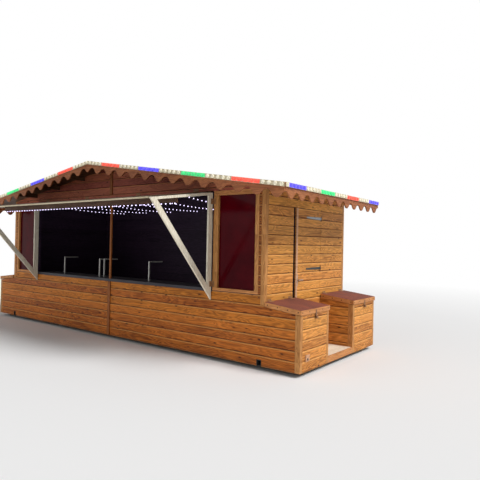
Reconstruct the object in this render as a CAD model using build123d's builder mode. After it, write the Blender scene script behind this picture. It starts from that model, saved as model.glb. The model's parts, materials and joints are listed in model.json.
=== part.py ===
from build123d import *

import os
from math import cos, radians, sin, tan

os.makedirs("parts", exist_ok=True)

# Market hut of horizontal boards: a cabin with a low front gable, storage boxes
# at both ends of its base, a serving opening with a flap on two folding brackets.
# X runs along the front, Y into the hut, Z up. The origin lies on the ground
# under the middle of the base. The front faces -Y. Sizes are in millimetres.

# Footprint
base_length = 7640.0
base_depth = 2400.0
box_projection = 560.0
ground_gap = 60.0

# Walls
board_thickness = 24.0
wall_thickness = 70.0
first_seam = 138.0
board_pitch = 135.0
boards_to_counter = 7
boards_to_corner_foot = 6
panel_sill = 895.0

# Steel base frame and floor
rail_height = 60.0
rail_width = 50.0
joist_pitches = 8
fork_tube_width = 70.0
fork_tube_height = 80.0
fork_tube_wall = 5.0
fork_tube_from_end = 630.0
fork_notch_gap = 5.0
foot_size = 90.0
foot_from_side = 300.0
first_foot_joist = 1
joists_per_foot = 3
floor_thickness = 24.0
entry_plate_thickness = 6.0

# Serving opening and the glazed panels beside it
panel_frame_width = 801.0
opening_head = 2380.0
mid_post_width = 40.0
mid_post_depth = 28.0
mid_batten_width = 70.0
mid_batten_thickness = 16.0
corner_post_width = 65.0
screw_strip_width = 44.0
panel_stile = 62.0
panel_inner_stile = 85.0
panel_bottom_rail = 95.0
panel_top_rail = 65.0
panel_thickness = 6.0
panel_setback = 36.0

# Counter
counter_below_seam = 22.0
counter_thickness = 50.0
counter_depth = 420.0
guard_tube = 20.0
guard_height = 330.0
guard_reach = 300.0
guard_setback = 110.0
guard_places = (-1548.0, -446.0, -312.0, 873.0)

# Flap over the opening
flap_reach = 1225.0
flap_side_gap = 5.0
flap_skin = 12.0
flap_rail_width = 60.0
flap_rail_height = 22.0
flap_slope = 8.3
flap_cross_rail_count = 5
flap_hinge_height = 8.0
flap_hinge_length = 100.0
flap_hinge_shares = (-0.85, -0.3, 0.3, 0.85)
light_rail_reach = 700.0
light_rail_height = 90.0
light_rail_thickness = 22.0

# Swinging brackets under the flap
bracket_thickness = 28.0
bracket_inset = 16.0
bracket_reach = 1204.0
bracket_post = 90.0
bracket_arm = 40.0
bracket_brace = 80.0
bracket_foot = 810.0
bracket_gap = 6.0
bracket_top_gap = 6.0
bracket_heel_cut = 8.0
bracket_heel_length = 150.0
bracket_hinge_length = 80.0
bracket_hinge_heights = (1040.0, 2230.0)
moving_gap = 5.0

# Storage boxes and lids
front_box_width = 775.0
entry_width = 800.0
box_post_face = 80.0
box_post_side = 62.0
lid_back_height = 862.0
lid_slope = 6.3
lid_skin = 18.0
lid_rim = 65.0
lid_rim_thickness = 20.0
lid_overhang = 12.0
lid_gap_side_overhang = 9.0
lid_wall_gap = 15.0
lid_hinge_length = 90.0
lid_hinge_inset = 130.0
hasp_width = 34.0
hasp_length = 95.0
hasp_rise = 45.0
padlock_width = 40.0
padlock_height = 34.0
padlock_depth = 18.0
padlock_drop = 22.0

# Door
door_width = 758.0
door_thickness = 45.0
door_top_gap = 6.0
door_floor_gap = 10.0
door_side_gap = 6.0
door_to_box = 23.0
door_recess_width = 66.0
door_recess_depth = 32.0
door_stop = 18.0
strap_length = 455.0
strap_wide = 42.0
strap_narrow = 24.0
strap_thickness = 4.0
strap_heights = (455.0, 1267.0, 2045.0)
handle_height = 1110.0

# Roof
roof_apex = 2950.0
eave_overhang = 595.0
gable_corner_height = 54.36
roof_skin = 30.0
front_overhang = 500.0
rear_overhang = 20.0
purlin_width = 45.0
purlin_depth = 70.0
purlin_spacing = 805.0
edge_board_height = 190.0
edge_board_thickness = 20.0
scallop_depth = 86.0
scallop_tip_share = 0.45
scallop_flank = 48.0
verge_lobes = 13
verge_corner_to_tip = 95.0
eave_pitch = 261.0
eave_corner_to_tip = 160.0
lamp_rail_height = 56.0
lamp_rail_thickness = 32.0
ridge_cap_half = 120.0
ridge_cap_thickness = 3.0

# Barrel hinges
pin_radius = 3.0
knuckle_radius = 6.0
knuckle_standoff = 0.5
knuckle_count = 3
knuckle_sides = 12
knuckle_gap = 1.0
pin_clearance = 0.05
leaf_thickness = 3.0
leaf_width = 44.0
short_leaf_width = 26.0

# Levels and faces that follow from the sizes above
base_half = base_length / 2
cabin_half = base_half - box_projection
eave_half = cabin_half + eave_overhang
front_face = -base_depth / 2
rear_face = base_depth / 2
base_bottom = ground_gap
deck_top = base_bottom + rail_height + floor_thickness
entry_top = deck_top + entry_plate_thickness
counter_seam = base_bottom + first_seam + board_pitch * (boards_to_counter - 1)
counter_bottom = counter_seam - counter_below_seam
counter_top = counter_bottom + counter_thickness
corner_foot = base_bottom + first_seam + board_pitch * (boards_to_corner_foot - 1)
panel_bottom = base_bottom + panel_sill
head = base_bottom + opening_head
inner_front = front_face + wall_thickness
inner_rear = rear_face - wall_thickness
inner_side = cabin_half - wall_thickness
corner_inner = cabin_half - corner_post_width
strip_inner = corner_inner - screw_strip_width
opening_half = strip_inner - panel_frame_width
apex = base_bottom + roof_apex
roof_fall = (apex - roof_skin - head - gable_corner_height) / corner_inner
roof_front = front_face - front_overhang
roof_rear = rear_face + rear_overhang
gap_front = front_face + front_box_width
gap_rear = gap_front + entry_width
lid_hinge_height = base_bottom + lid_back_height
lid_hinge_side = cabin_half + lid_wall_gap


def roof_top(x):
    """Height of the roof's upper face at the distance x from the middle."""
    return apex - abs(x) * roof_fall


def roof_under(x):
    """Height of the roof boards' underside at the distance x from the middle."""
    return roof_top(x) - roof_skin


def lid_top(x):
    """Height of a closed lid's upper face at the distance x from the middle."""
    return lid_hinge_height - (abs(x) - lid_hinge_side) * tan(radians(lid_slope))


def box_rim(x):
    """Height of a storage box's rim, which the lid's edge boards close on."""
    return lid_top(x) - lid_rim - moving_gap


def block(low, high, mode=Mode.ADD):
    """Box between two opposite corners."""
    centre = tuple((a + b) / 2 for a, b in zip(low, high))
    size = tuple(b - a for a, b in zip(low, high))
    with Locations(centre):
        Box(*size, mode=mode)


def front_slab(points, y_front, y_rear, mode=Mode.ADD):
    """Slab with an outline in X and Z, between two Y faces."""
    with BuildSketch(Plane.XZ.offset(-y_rear)) as outline:
        with BuildLine():
            Polyline(*points, close=True)
        make_face()
    extrude(outline.sketch, amount=y_rear - y_front, mode=mode)


def side_slab(points, x_low, x_high, mode=Mode.ADD):
    """Slab with an outline in Y and Z, between two X faces."""
    with BuildSketch(Plane.YZ.offset(x_low)) as outline:
        with BuildLine():
            Polyline(*points, close=True)
        make_face()
    extrude(outline.sketch, amount=x_high - x_low, mode=mode)


def save(builder, name):
    """Label a finished piece and write its STEP file."""
    builder.part.label = name
    export_step(builder.part, f"parts/{name}.step")


def crossing(first, second):
    """Point where two lines meet, each given as two points in a plane."""
    (ax, ay), (bx, by) = first
    (cx, cy), (dx, dy) = second
    along = ((cx - ax) * (dy - cy) - (cy - ay) * (dx - cx)) / ((bx - ax) * (dy - cy) - (by - ay) * (dx - cx))
    return ax + along * (bx - ax), ay + along * (by - ay)


def shifted(start, end, distance):
    """The line from start to end, moved to its left by a distance."""
    run, rise = end[0] - start[0], end[1] - start[1]
    length = (run ** 2 + rise ** 2) ** 0.5
    move = (-rise / length * distance, run / length * distance)
    return (start[0] + move[0], start[1] + move[1]), (end[0] + move[0], end[1] + move[1])


def hinge_half(plane, length, moving, leaf, throat):
    """Half of a barrel hinge along the plane's normal, centred on its origin.

    The leaf and the throat that ties it to its own knuckles are outlines in the
    plane. The fixed half has the outer knuckles and a many-sided pin, which ends
    inside them. The moving half has a round hole.
    """
    span = length / knuckle_count
    for index in range(knuckle_count):
        if (index % 2 == 1) == moving:
            with BuildSketch(plane.offset(index * span - length / 2 + knuckle_gap / 2)) as knuckle:
                RegularPolygon(knuckle_radius, knuckle_sides)
                with BuildLine():
                    Polyline(*throat, close=True)
                make_face()
            extrude(knuckle.sketch, amount=span - knuckle_gap)
    with BuildSketch(plane.offset(-length / 2)) as plate:
        with BuildLine():
            Polyline(*leaf, close=True)
        make_face()
    extrude(plate.sketch, amount=length)
    with BuildSketch(plane.offset((span - length) / 2)) as pin:
        if moving:
            Circle(pin_radius + pin_clearance)
        else:
            RegularPolygon(pin_radius, knuckle_sides)
    extrude(pin.sketch, amount=length - span, mode=Mode.SUBTRACT if moving else Mode.ADD)


# Steel frame: long rails at front and rear, broken at the fork tubes, and joists between them
frame_side = base_half - board_thickness
frame_front = front_face + board_thickness
frame_rear = rear_face - board_thickness
rail_top = base_bottom + rail_height
fork_x = base_half - fork_tube_from_end
fork_slot_half = fork_tube_width / 2 + fork_notch_gap
with BuildPart() as base_rails:
    for rail_y in (frame_front, frame_rear - rail_width):
        block((-frame_side, rail_y, base_bottom), (frame_side, rail_y + rail_width, rail_top))
    for side in (-1, 1):
        block((side * fork_x - fork_slot_half, frame_front, base_bottom),
              (side * fork_x + fork_slot_half, frame_rear, rail_top), mode=Mode.SUBTRACT)
save(base_rails, "base_rails")

joist_pitch = (2 * frame_side - rail_width) / joist_pitches
joist_starts = [-frame_side + index * joist_pitch for index in range(joist_pitches + 1)]
with BuildPart() as base_joists:
    for joist_x in joist_starts:
        block((joist_x, frame_front + rail_width, base_bottom),
              (joist_x + rail_width, frame_rear - rail_width, rail_top))
save(base_joists, "base_joists")

# Feet: pads under every third joist, set back from the edges, one of them on the origin
foot_row = base_depth / 2 - foot_from_side
with BuildPart() as feet:
    for joist_x in joist_starts[first_foot_joist::joists_per_foot]:
        for row_y in (-foot_row, 0.0, foot_row):
            with Locations((joist_x + rail_width / 2, row_y, ground_gap / 2)):
                Box(foot_size, foot_size, ground_gap)
save(feet, "feet")

# Fork tubes: open rectangular tubes from the front face to the rear face
tube_top = base_bottom + fork_tube_height
with BuildPart() as fork_tubes:
    for side in (-1, 1):
        with BuildSketch(Plane.XZ.offset(-rear_face)):
            with Locations((side * fork_x, base_bottom + fork_tube_height / 2)):
                Rectangle(fork_tube_width, fork_tube_height)
                Rectangle(fork_tube_width - 2 * fork_tube_wall, fork_tube_height - 2 * fork_tube_wall,
                          mode=Mode.SUBTRACT)
        extrude(amount=base_depth)
save(fork_tubes, "fork_tubes")

# Floor boards over the whole base, slotted over the fork tubes
floor_side = base_half - board_thickness
with BuildPart() as floor_deck:
    block((-floor_side, frame_front, rail_top), (floor_side, frame_rear, deck_top))
    for side in (-1, 1):
        tube_half = fork_tube_width / 2
        block((side * fork_x - tube_half, frame_front, rail_top),
              (side * fork_x + tube_half, frame_rear, deck_top), mode=Mode.SUBTRACT)
save(floor_deck, "floor_deck")

# Front wall under the opening: boards over the full base, backed inside the cabin
post_inner = base_half - box_post_face


def front_outline(side):
    """One half of the base wall's upper edge and foot, from the middle outwards."""
    return [
        (0, counter_bottom),
        (side * opening_half, counter_bottom),
        (side * opening_half, panel_bottom),
        (side * corner_inner, panel_bottom),
        (side * corner_inner, corner_foot),
        (side * cabin_half, corner_foot),
        (side * cabin_half, box_rim(cabin_half)),
        (side * post_inner, box_rim(post_inner)),
        (side * post_inner, base_bottom),
        (side * (fork_x + fork_slot_half), base_bottom),
        (side * (fork_x + fork_slot_half), tube_top + fork_notch_gap),
        (side * (fork_x - fork_slot_half), tube_top + fork_notch_gap),
        (side * (fork_x - fork_slot_half), base_bottom),
        (0, base_bottom),
    ]


with BuildPart() as front_wall:
    for side in (-1, 1):
        front_slab(front_outline(side), front_face, frame_front)
    block((-corner_inner, frame_front, deck_top), (corner_inner, inner_front, panel_bottom))
    block((-opening_half, frame_front, panel_bottom), (opening_half, inner_front, counter_bottom))
save(front_wall, "front_wall")


def rear_outline(side):
    """One half of the rear base wall, from the middle outwards."""
    return [
        (0, corner_foot),
        (side * cabin_half, corner_foot),
        (side * cabin_half, box_rim(cabin_half)),
        (side * post_inner, box_rim(post_inner)),
        (side * post_inner, base_bottom),
        (side * (fork_x + fork_slot_half), base_bottom),
        (side * (fork_x + fork_slot_half), tube_top + fork_notch_gap),
        (side * (fork_x - fork_slot_half), tube_top + fork_notch_gap),
        (side * (fork_x - fork_slot_half), base_bottom),
        (0, base_bottom),
    ]


with BuildPart() as rear_base_wall:
    for side in (-1, 1):
        front_slab(rear_outline(side), frame_rear, rear_face)
    block((-corner_inner, inner_rear, deck_top), (corner_inner, frame_rear, corner_foot))
save(rear_base_wall, "rear_base_wall")

# Purlins: beams along Y under the roof boards, through both gables
purlin_steps = int((inner_side - purlin_width) / purlin_spacing)
purlin_places = [step * purlin_spacing for step in range(-purlin_steps, purlin_steps + 1)]


def purlin_outline(x):
    """Section of a purlin, cut to the roof's slope on top."""
    low, high = x - purlin_width / 2, x + purlin_width / 2
    foot = roof_under(abs(x) + purlin_width / 2) - purlin_depth
    crown = [(x, roof_under(x))] if x == 0 else []
    return [(low, foot), (high, foot), (high, roof_under(high))] + crown + [(low, roof_under(low))]


def cut_purlins(y_front, y_rear):
    """Pockets in a gable for all purlins."""
    for x in purlin_places:
        front_slab(purlin_outline(x), y_front, y_rear, mode=Mode.SUBTRACT)


edge_front = roof_front + edge_board_thickness
edge_rear = roof_rear - edge_board_thickness
with BuildPart() as purlins:
    for x in purlin_places:
        front_slab(purlin_outline(x), edge_front, edge_rear)
save(purlins, "purlins")


def gable_outline(foot):
    """Outline of a wall from its foot up to the roof boards, between the corner posts."""
    return [
        (-corner_inner, foot),
        (corner_inner, foot),
        (corner_inner, roof_under(corner_inner)),
        (0, roof_under(0)),
        (-corner_inner, roof_under(corner_inner)),
    ]


with BuildPart() as front_gable:
    front_slab(gable_outline(head), front_face, inner_front)
    cut_purlins(front_face, inner_front)
save(front_gable, "front_gable")

with BuildPart() as rear_wall:
    front_slab(gable_outline(corner_foot), inner_rear, rear_face)
    cut_purlins(inner_rear, rear_face)
save(rear_wall, "rear_wall")

# Cover battens on the middle joint of the front boards
with BuildPart() as middle_battens:
    batten_front = front_face - mid_batten_thickness
    batten_half = mid_batten_width / 2
    block((-batten_half, batten_front, base_bottom), (batten_half, front_face, counter_bottom))
    block((-batten_half, batten_front, head + flap_hinge_height + leaf_width),
          (batten_half, front_face, roof_under(purlin_width / 2) - purlin_depth))
save(middle_battens, "middle_battens")

# Corner posts of the cabin, stepped behind the boards of the base
with BuildPart() as cabin_corner_posts:
    for side in (-1, 1):
        outline = [
            (side * corner_inner, deck_top),
            (side * cabin_half, deck_top),
            (side * cabin_half, roof_under(cabin_half)),
            (side * corner_inner, roof_under(corner_inner)),
        ]
        front_slab(outline, front_face, inner_front)
        front_slab(outline, inner_rear, rear_face)
        for low_y, high_y in ((front_face, frame_front), (frame_rear, rear_face)):
            low_x, high_x = sorted((side * corner_inner, side * cabin_half))
            block((low_x, low_y, deck_top), (high_x, high_y, corner_foot), mode=Mode.SUBTRACT)
save(cabin_corner_posts, "cabin_corner_posts")

# Narrow boarded strips between the corner posts and the panel frames
with BuildPart() as corner_strips:
    for side in (-1, 1):
        low_x, high_x = sorted((side * strip_inner, side * corner_inner))
        block((low_x, front_face, panel_bottom), (high_x, inner_front, head))
save(corner_strips, "corner_strips")

# Panel frames beside the opening, and the coloured panels set back in them
pane_inner = opening_half + panel_inner_stile
pane_outer = strip_inner - panel_stile
pane_bottom = panel_bottom + panel_bottom_rail
pane_top = head - panel_top_rail
pane_front = front_face + panel_setback
with BuildPart() as panel_frames:
    for side in (-1, 1):
        low_x, high_x = sorted((side * opening_half, side * strip_inner))
        block((low_x, front_face, panel_bottom), (high_x, inner_front, head))
        low_x, high_x = sorted((side * pane_inner, side * pane_outer))
        block((low_x, front_face, pane_bottom), (high_x, inner_front, pane_top), mode=Mode.SUBTRACT)
save(panel_frames, "panel_frames")

with BuildPart() as panels:
    for side in (-1, 1):
        low_x, high_x = sorted((side * pane_inner, side * pane_outer))
        block((low_x, pane_front, pane_bottom), (high_x, pane_front + panel_thickness, pane_top))
save(panels, "panels")

# Counter on the front wall, with the middle post of the opening standing on it
with BuildPart() as counter:
    block((-opening_half, front_face, counter_bottom),
          (opening_half, front_face + counter_depth, counter_top))
save(counter, "counter")

with BuildPart() as opening_post:
    block((-mid_post_width / 2, front_face, counter_top),
          (mid_post_width / 2, front_face + mid_post_depth, head))
save(opening_post, "opening_post")

# Square tube stands on the counter, each with an arm that reaches inwards
with BuildPart() as counter_stands:
    stand_y = front_face + guard_setback
    stand_top = counter_top + guard_height
    for x in guard_places:
        low_x, high_x = x - guard_tube / 2, x + guard_tube / 2
        block((low_x, stand_y, counter_top), (high_x, stand_y + guard_tube, stand_top))
        block((low_x, stand_y, stand_top - guard_tube), (high_x, stand_y + guard_reach, stand_top))
save(counter_stands, "counter_stands")

# Side walls of the cabin
door_rear = gap_rear - door_to_box
door_front = door_rear - door_width
door_bottom = entry_top + door_floor_gap
door_top = roof_top(eave_half) - edge_board_height - door_top_gap
doorway_rear = door_rear + door_side_gap
doorway_front = door_front - door_side_gap
recess_front = doorway_front - door_recess_width
lintel = door_top + door_side_gap


def side_wall_outline(side, foot):
    """Section of a side wall from its foot to the roof boards."""
    return [
        (side * inner_side, foot),
        (side * cabin_half, foot),
        (side * cabin_half, roof_under(cabin_half)),
        (side * inner_side, roof_under(inner_side)),
    ]


with BuildPart() as right_wall_front:
    front_slab(side_wall_outline(1, deck_top), inner_front, recess_front)
save(right_wall_front, "right_wall_front")

with BuildPart() as right_wall_rear:
    front_slab(side_wall_outline(1, deck_top), doorway_rear, inner_rear)
save(right_wall_rear, "right_wall_rear")

with BuildPart() as right_wall_over_door:
    front_slab(side_wall_outline(1, lintel), recess_front, doorway_rear)
save(right_wall_over_door, "right_wall_over_door")

with BuildPart() as left_wall:
    front_slab(side_wall_outline(-1, deck_top), inner_front, inner_rear)
save(left_wall, "left_wall")

# Door frame: the set-back jamb and the stops behind the leaf
leaf_inner = cabin_half - door_thickness
stop_face = leaf_inner - moving_gap
with BuildPart() as door_frame:
    block((inner_side, recess_front, deck_top), (cabin_half - door_recess_depth, doorway_front, lintel))
    block((inner_side, doorway_front, deck_top), (stop_face, doorway_front + door_stop, lintel))
    block((inner_side, doorway_rear - door_stop, deck_top), (stop_face, doorway_rear, lintel))
    block((inner_side, doorway_front, lintel - door_stop), (stop_face, doorway_rear, lintel))
save(door_frame, "door_frame")

with BuildPart() as door:
    block((leaf_inner, door_front, door_bottom), (cabin_half, door_rear, door_top))
save(door, "door")

# Strap hinges of the door, on its outer face
door_axis_x = cabin_half + knuckle_radius + knuckle_standoff
door_axis_y = (door_rear + doorway_rear) / 2
face_offset = cabin_half - door_axis_x


def leaf_outline(start, end, standoff):
    """Outline of a flat hinge leaf between two distances from the axis."""
    outer = standoff + leaf_thickness
    return [(standoff, start), (standoff, end), (outer, end), (outer, start)]


clear_of_barrel = knuckle_radius + knuckle_gap
with BuildPart() as door_straps:
    for height in strap_heights:
        axis_plane = Plane((door_axis_x, door_axis_y, base_bottom + height))
        hinge_half(axis_plane, strap_wide * 2, True,
                   leaf_outline(-clear_of_barrel, -clear_of_barrel - leaf_thickness, face_offset),
                   leaf_outline(0, -clear_of_barrel, face_offset))
        with BuildSketch(Plane.YZ.offset(cabin_half)):
            with BuildLine():
                strap_end = door_axis_y - strap_length
                Polyline(
                    (door_axis_y - clear_of_barrel, base_bottom + height - strap_wide / 2),
                    (door_axis_y - clear_of_barrel, base_bottom + height + strap_wide / 2),
                    (strap_end, base_bottom + height + strap_narrow / 2),
                    (strap_end, base_bottom + height - strap_narrow / 2),
                    close=True,
                )
            make_face()
        extrude(amount=strap_thickness)
save(door_straps, "door_straps")

# Door handle: a long plate with a lever on a short neck
handle_y = door_front + 42
handle_z = base_bottom + handle_height
handle_plate = (38.0, 180.0, 4.0)
lever_length = 115.0
lever_radius = 8.0
neck_length = 42.0
with BuildPart() as door_handle:
    block((cabin_half, handle_y - handle_plate[0] / 2, handle_z - handle_plate[1] / 2),
          (cabin_half + handle_plate[2], handle_y + handle_plate[0] / 2, handle_z + handle_plate[1] / 2))
    with BuildSketch(Plane.YZ.offset(cabin_half)):
        with Locations((handle_y, handle_z)):
            Circle(lever_radius)
    extrude(amount=handle_plate[2] + neck_length)
    with BuildSketch(Plane.XZ.offset(-handle_y - lever_length)):
        with Locations((cabin_half + handle_plate[2] + neck_length - lever_radius, handle_z)):
            Circle(lever_radius)
    extrude(amount=lever_length)
save(door_handle, "door_handle")

# Posts at the corners of the storage boxes, cut round the steel frame and floor
right_posts = (front_face, gap_front - box_post_side, gap_rear, rear_face - box_post_side)
left_posts = (front_face, rear_face - box_post_side)
with BuildPart() as box_posts:
    for side, places in ((1, right_posts), (-1, left_posts)):
        outline = [
            (side * post_inner, base_bottom),
            (side * base_half, base_bottom),
            (side * base_half, box_rim(base_half)),
            (side * post_inner, box_rim(post_inner)),
        ]
        for post_y in places:
            front_slab(outline, post_y, post_y + box_post_side)
    block((-frame_side, frame_front, base_bottom), (frame_side, frame_rear, deck_top), mode=Mode.SUBTRACT)
save(box_posts, "box_posts")

# Storage box walls: the outer boards and, at the entry, the boards facing it
rim_low = box_rim(base_half)
gap_wall_outline = [
    (cabin_half, deck_top),
    (post_inner, deck_top),
    (post_inner, box_rim(post_inner)),
    (cabin_half, box_rim(cabin_half)),
]
with BuildPart() as box_walls_right:
    for low_y, high_y in ((front_face, gap_front), (gap_rear, rear_face)):
        block((frame_side, low_y + box_post_side, base_bottom), (base_half, high_y - box_post_side, rim_low))
    front_slab(gap_wall_outline, gap_front - board_thickness, gap_front)
    front_slab(gap_wall_outline, gap_rear, gap_rear + board_thickness)
save(box_walls_right, "box_walls_right")

with BuildPart() as box_wall_left:
    block((-base_half, front_face + box_post_side, base_bottom),
          (-frame_side, rear_face - box_post_side, rim_low))
save(box_wall_left, "box_wall_left")

# Entry between the right boxes: floor plate and the board in front of it
with BuildPart() as entry_plate:
    block((cabin_half, gap_front, deck_top), (frame_side, gap_rear, entry_top))
save(entry_plate, "entry_plate")

with BuildPart() as entry_board:
    block((frame_side, gap_front, base_bottom), (base_half, gap_rear, entry_top))
save(entry_board, "entry_board")

# Lids: a sloping top with edge boards on three sides, hinged at the cabin
lid_outer = base_half + lid_overhang


def lid_strip(side, low_y, high_y, depth):
    """Part of a lid that follows its slope, to a depth under its top."""
    outline = [
        (side * lid_hinge_side, lid_top(lid_hinge_side)),
        (side * lid_outer, lid_top(lid_outer)),
        (side * lid_outer, lid_top(lid_outer) - depth),
        (side * lid_hinge_side, lid_top(lid_hinge_side) - depth),
    ]
    front_slab(outline, low_y, high_y)


lid_axis_x = cabin_half + knuckle_radius + knuckle_standoff
lid_axis_z = lid_top(lid_hinge_side) + leaf_thickness
lids = (
    ("right_front", 1, front_face - lid_overhang, gap_front + lid_gap_side_overhang),
    ("right_rear", 1, gap_rear - lid_gap_side_overhang, rear_face + lid_overhang),
    ("left", -1, front_face - lid_overhang, rear_face + lid_overhang),
)
lid_fall = tan(radians(lid_slope))
lid_edge = lid_hinge_side - lid_axis_x
lid_leaf = [
    (lid_edge, -leaf_thickness),
    (lid_edge, 0),
    (lid_edge + leaf_width, -leaf_width * lid_fall),
    (lid_edge + leaf_width, -leaf_width * lid_fall - leaf_thickness),
]
lid_throat = [(0, -leaf_thickness), (0, 0), (lid_edge, 0), (lid_edge, -leaf_thickness)]


def lid_hinge_plane(side, hinge_y):
    """Plane across a lid hinge, its X pointing out of the hut and its Y up."""
    return Plane((side * lid_axis_x, hinge_y, lid_axis_z), x_dir=(side, 0, 0), z_dir=(0, -side, 0))


for name, side, low_y, high_y in lids:
    with BuildPart() as lid:
        lid_strip(side, low_y, high_y, lid_skin)
        lid_strip(side, low_y, low_y + lid_rim_thickness, lid_rim)
        lid_strip(side, high_y - lid_rim_thickness, high_y, lid_rim)
        rim_x, outer_x = lid_outer - lid_rim_thickness, lid_outer
        outline = [
            (side * rim_x, lid_top(rim_x)),
            (side * outer_x, lid_top(outer_x)),
            (side * outer_x, lid_top(outer_x) - lid_rim),
            (side * rim_x, lid_top(rim_x) - lid_rim),
        ]
        front_slab(outline, low_y, high_y)
    save(lid, f"lid_{name}")
    lid_middle = (low_y + high_y) / 2
    hasp_low = lid_top(lid_outer) - lid_rim + hasp_rise - hasp_length
    with BuildPart() as lid_fittings:
        for hinge_y in (low_y + lid_hinge_inset, high_y - lid_hinge_inset):
            hinge_half(lid_hinge_plane(side, hinge_y), lid_hinge_length, True, lid_leaf, lid_throat)
        low_x, high_x = sorted((side * lid_outer, side * (lid_outer + leaf_thickness)))
        block((low_x, lid_middle - hasp_width / 2, hasp_low),
              (high_x, lid_middle + hasp_width / 2, hasp_low + hasp_length))
        low_x, high_x = sorted((side * lid_outer, side * (lid_outer + leaf_thickness + padlock_depth)))
        block((low_x, lid_middle - padlock_width / 2, hasp_low - padlock_drop),
              (high_x, lid_middle + padlock_width / 2, hasp_low - padlock_drop + padlock_height))
    save(lid_fittings, f"lid_fittings_{name}")

# Flap: a thin skin on a frame of flat rails, sloping down from its hinges
flap_axis_y = front_face - knuckle_radius - knuckle_standoff
flap_axis_z = head + flap_hinge_height
flap_angle = radians(flap_slope)
flap_half = opening_half - flap_side_gap
flap_outward = (0, -cos(flap_angle), -sin(flap_angle))
flap_plane = Plane((0, flap_axis_y, flap_axis_z), x_dir=flap_outward, z_dir=(-1, 0, 0))
skin_top = -leaf_thickness
skin_bottom = skin_top - flap_skin
rail_bottom = skin_bottom - flap_rail_height
flap_back = knuckle_radius + knuckle_gap + 1.5
flap_rail_half = opening_half - bracket_inset - bracket_thickness - moving_gap


def flap_block(u_low, u_high, v_low, v_high, x_low, x_high):
    """Box on the flap: u runs out along it, v stands square on it."""
    with BuildSketch(flap_plane.offset(-x_high)) as outline:
        with Locations(((u_low + u_high) / 2, (v_low + v_high) / 2)):
            Rectangle(u_high - u_low, v_high - v_low)
    extrude(outline.sketch, amount=x_high - x_low)


with BuildPart() as flap_panel:
    flap_block(flap_back, flap_reach, skin_bottom, skin_top, -flap_half, flap_half)
save(flap_panel, "flap_panel")

long_rail_starts = (flap_back, flap_reach - flap_rail_width)
with BuildPart() as flap_long_rails:
    for rail_start in long_rail_starts:
        rail_end = rail_start + flap_rail_width
        flap_block(rail_start, rail_end, rail_bottom, skin_bottom, -flap_rail_half, flap_rail_half)
save(flap_long_rails, "flap_long_rails")

with BuildPart() as flap_cross_rails:
    rail_step = (2 * flap_rail_half - flap_rail_width) / (flap_cross_rail_count - 1)
    for index in range(flap_cross_rail_count):
        rail_x = -flap_rail_half + index * rail_step
        flap_block(long_rail_starts[0] + flap_rail_width, long_rail_starts[1], rail_bottom, skin_bottom,
                   rail_x, rail_x + flap_rail_width)
save(flap_cross_rails, "flap_cross_rails")

# Light rail: a deep board across the flap, under its cross rails
with BuildPart() as light_rail:
    flap_block(light_rail_reach, light_rail_reach + light_rail_thickness,
               rail_bottom - light_rail_height, rail_bottom, -flap_rail_half, flap_rail_half)
save(light_rail, "light_rail")

flap_hinge_places = [share * opening_half for share in flap_hinge_shares]
with BuildPart() as flap_hinges:
    for x in flap_hinge_places:
        hinge_half(flap_plane.offset(-x), flap_hinge_length, True,
                   [(flap_back, -leaf_thickness), (flap_back, 0),
                    (leaf_width, 0), (leaf_width, -leaf_thickness)],
                   [(0, -leaf_thickness), (0, 0), (flap_back, 0), (flap_back, -leaf_thickness)])
save(flap_hinges, "flap_hinges")

# Brackets: triangular board frames on upright hinges, under the flap's ends
bracket_back = front_face - bracket_gap
bracket_tip = bracket_back - bracket_reach
bracket_low = base_bottom + bracket_foot
bracket_outer = opening_half - bracket_inset


def under_flap(y):
    """Height of the bracket's upper edge: the skin's underside less a gap."""
    drop = (skin_bottom - bracket_top_gap) / cos(flap_angle)
    return flap_axis_z - (flap_axis_y - y) * tan(flap_angle) + drop


knee_y = bracket_back - bracket_heel_length
heel = (bracket_back, under_flap(bracket_back) - bracket_heel_cut)
knee = (knee_y, under_flap(knee_y))
tip = (bracket_tip, under_flap(bracket_tip))
foot = (bracket_back, bracket_low)
post_line = shifted(foot, heel, bracket_post)
arm_line = shifted(knee, tip, bracket_arm)
brace_line = shifted(tip, foot, bracket_brace)
bracket_axis_y = front_face - knuckle_radius - knuckle_standoff
bracket_axis_x = bracket_outer + knuckle_radius + knuckle_gap
for side, name in ((1, "right"), (-1, "left")):
    low_x, high_x = sorted((side * bracket_outer, side * (bracket_outer - bracket_thickness)))
    with BuildPart() as bracket:
        side_slab([heel, knee, tip, foot], low_x, high_x)
        inner = [
            crossing(post_line, arm_line),
            crossing(arm_line, brace_line),
            crossing(brace_line, post_line),
        ]
        side_slab(inner, low_x, high_x, mode=Mode.SUBTRACT)
    save(bracket, f"bracket_{name}")
    with BuildPart() as bracket_hinges:
        near = bracket_outer - bracket_axis_x
        for height in bracket_hinge_heights:
            upright = Plane((side * bracket_axis_x, bracket_axis_y, base_bottom + height),
                            x_dir=(side, 0, 0), z_dir=(0, 0, side))
            hinge_half(upright, bracket_hinge_length, True,
                       leaf_outline(-clear_of_barrel, -leaf_width, near),
                       leaf_outline(0, -clear_of_barrel, near))
    save(bracket_hinges, f"bracket_hinges_{name}")

# Fixed halves of all hinges, on the walls of the cabin
wall_offset = knuckle_radius + knuckle_standoff


def wall_plate(start, end):
    """Leaf flat on a wall and the throat to its barrel, with the wall along the plane's Y."""
    leaf = leaf_outline(start, end, -wall_offset)
    return leaf, leaf_outline(0, start, -wall_offset)


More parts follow.
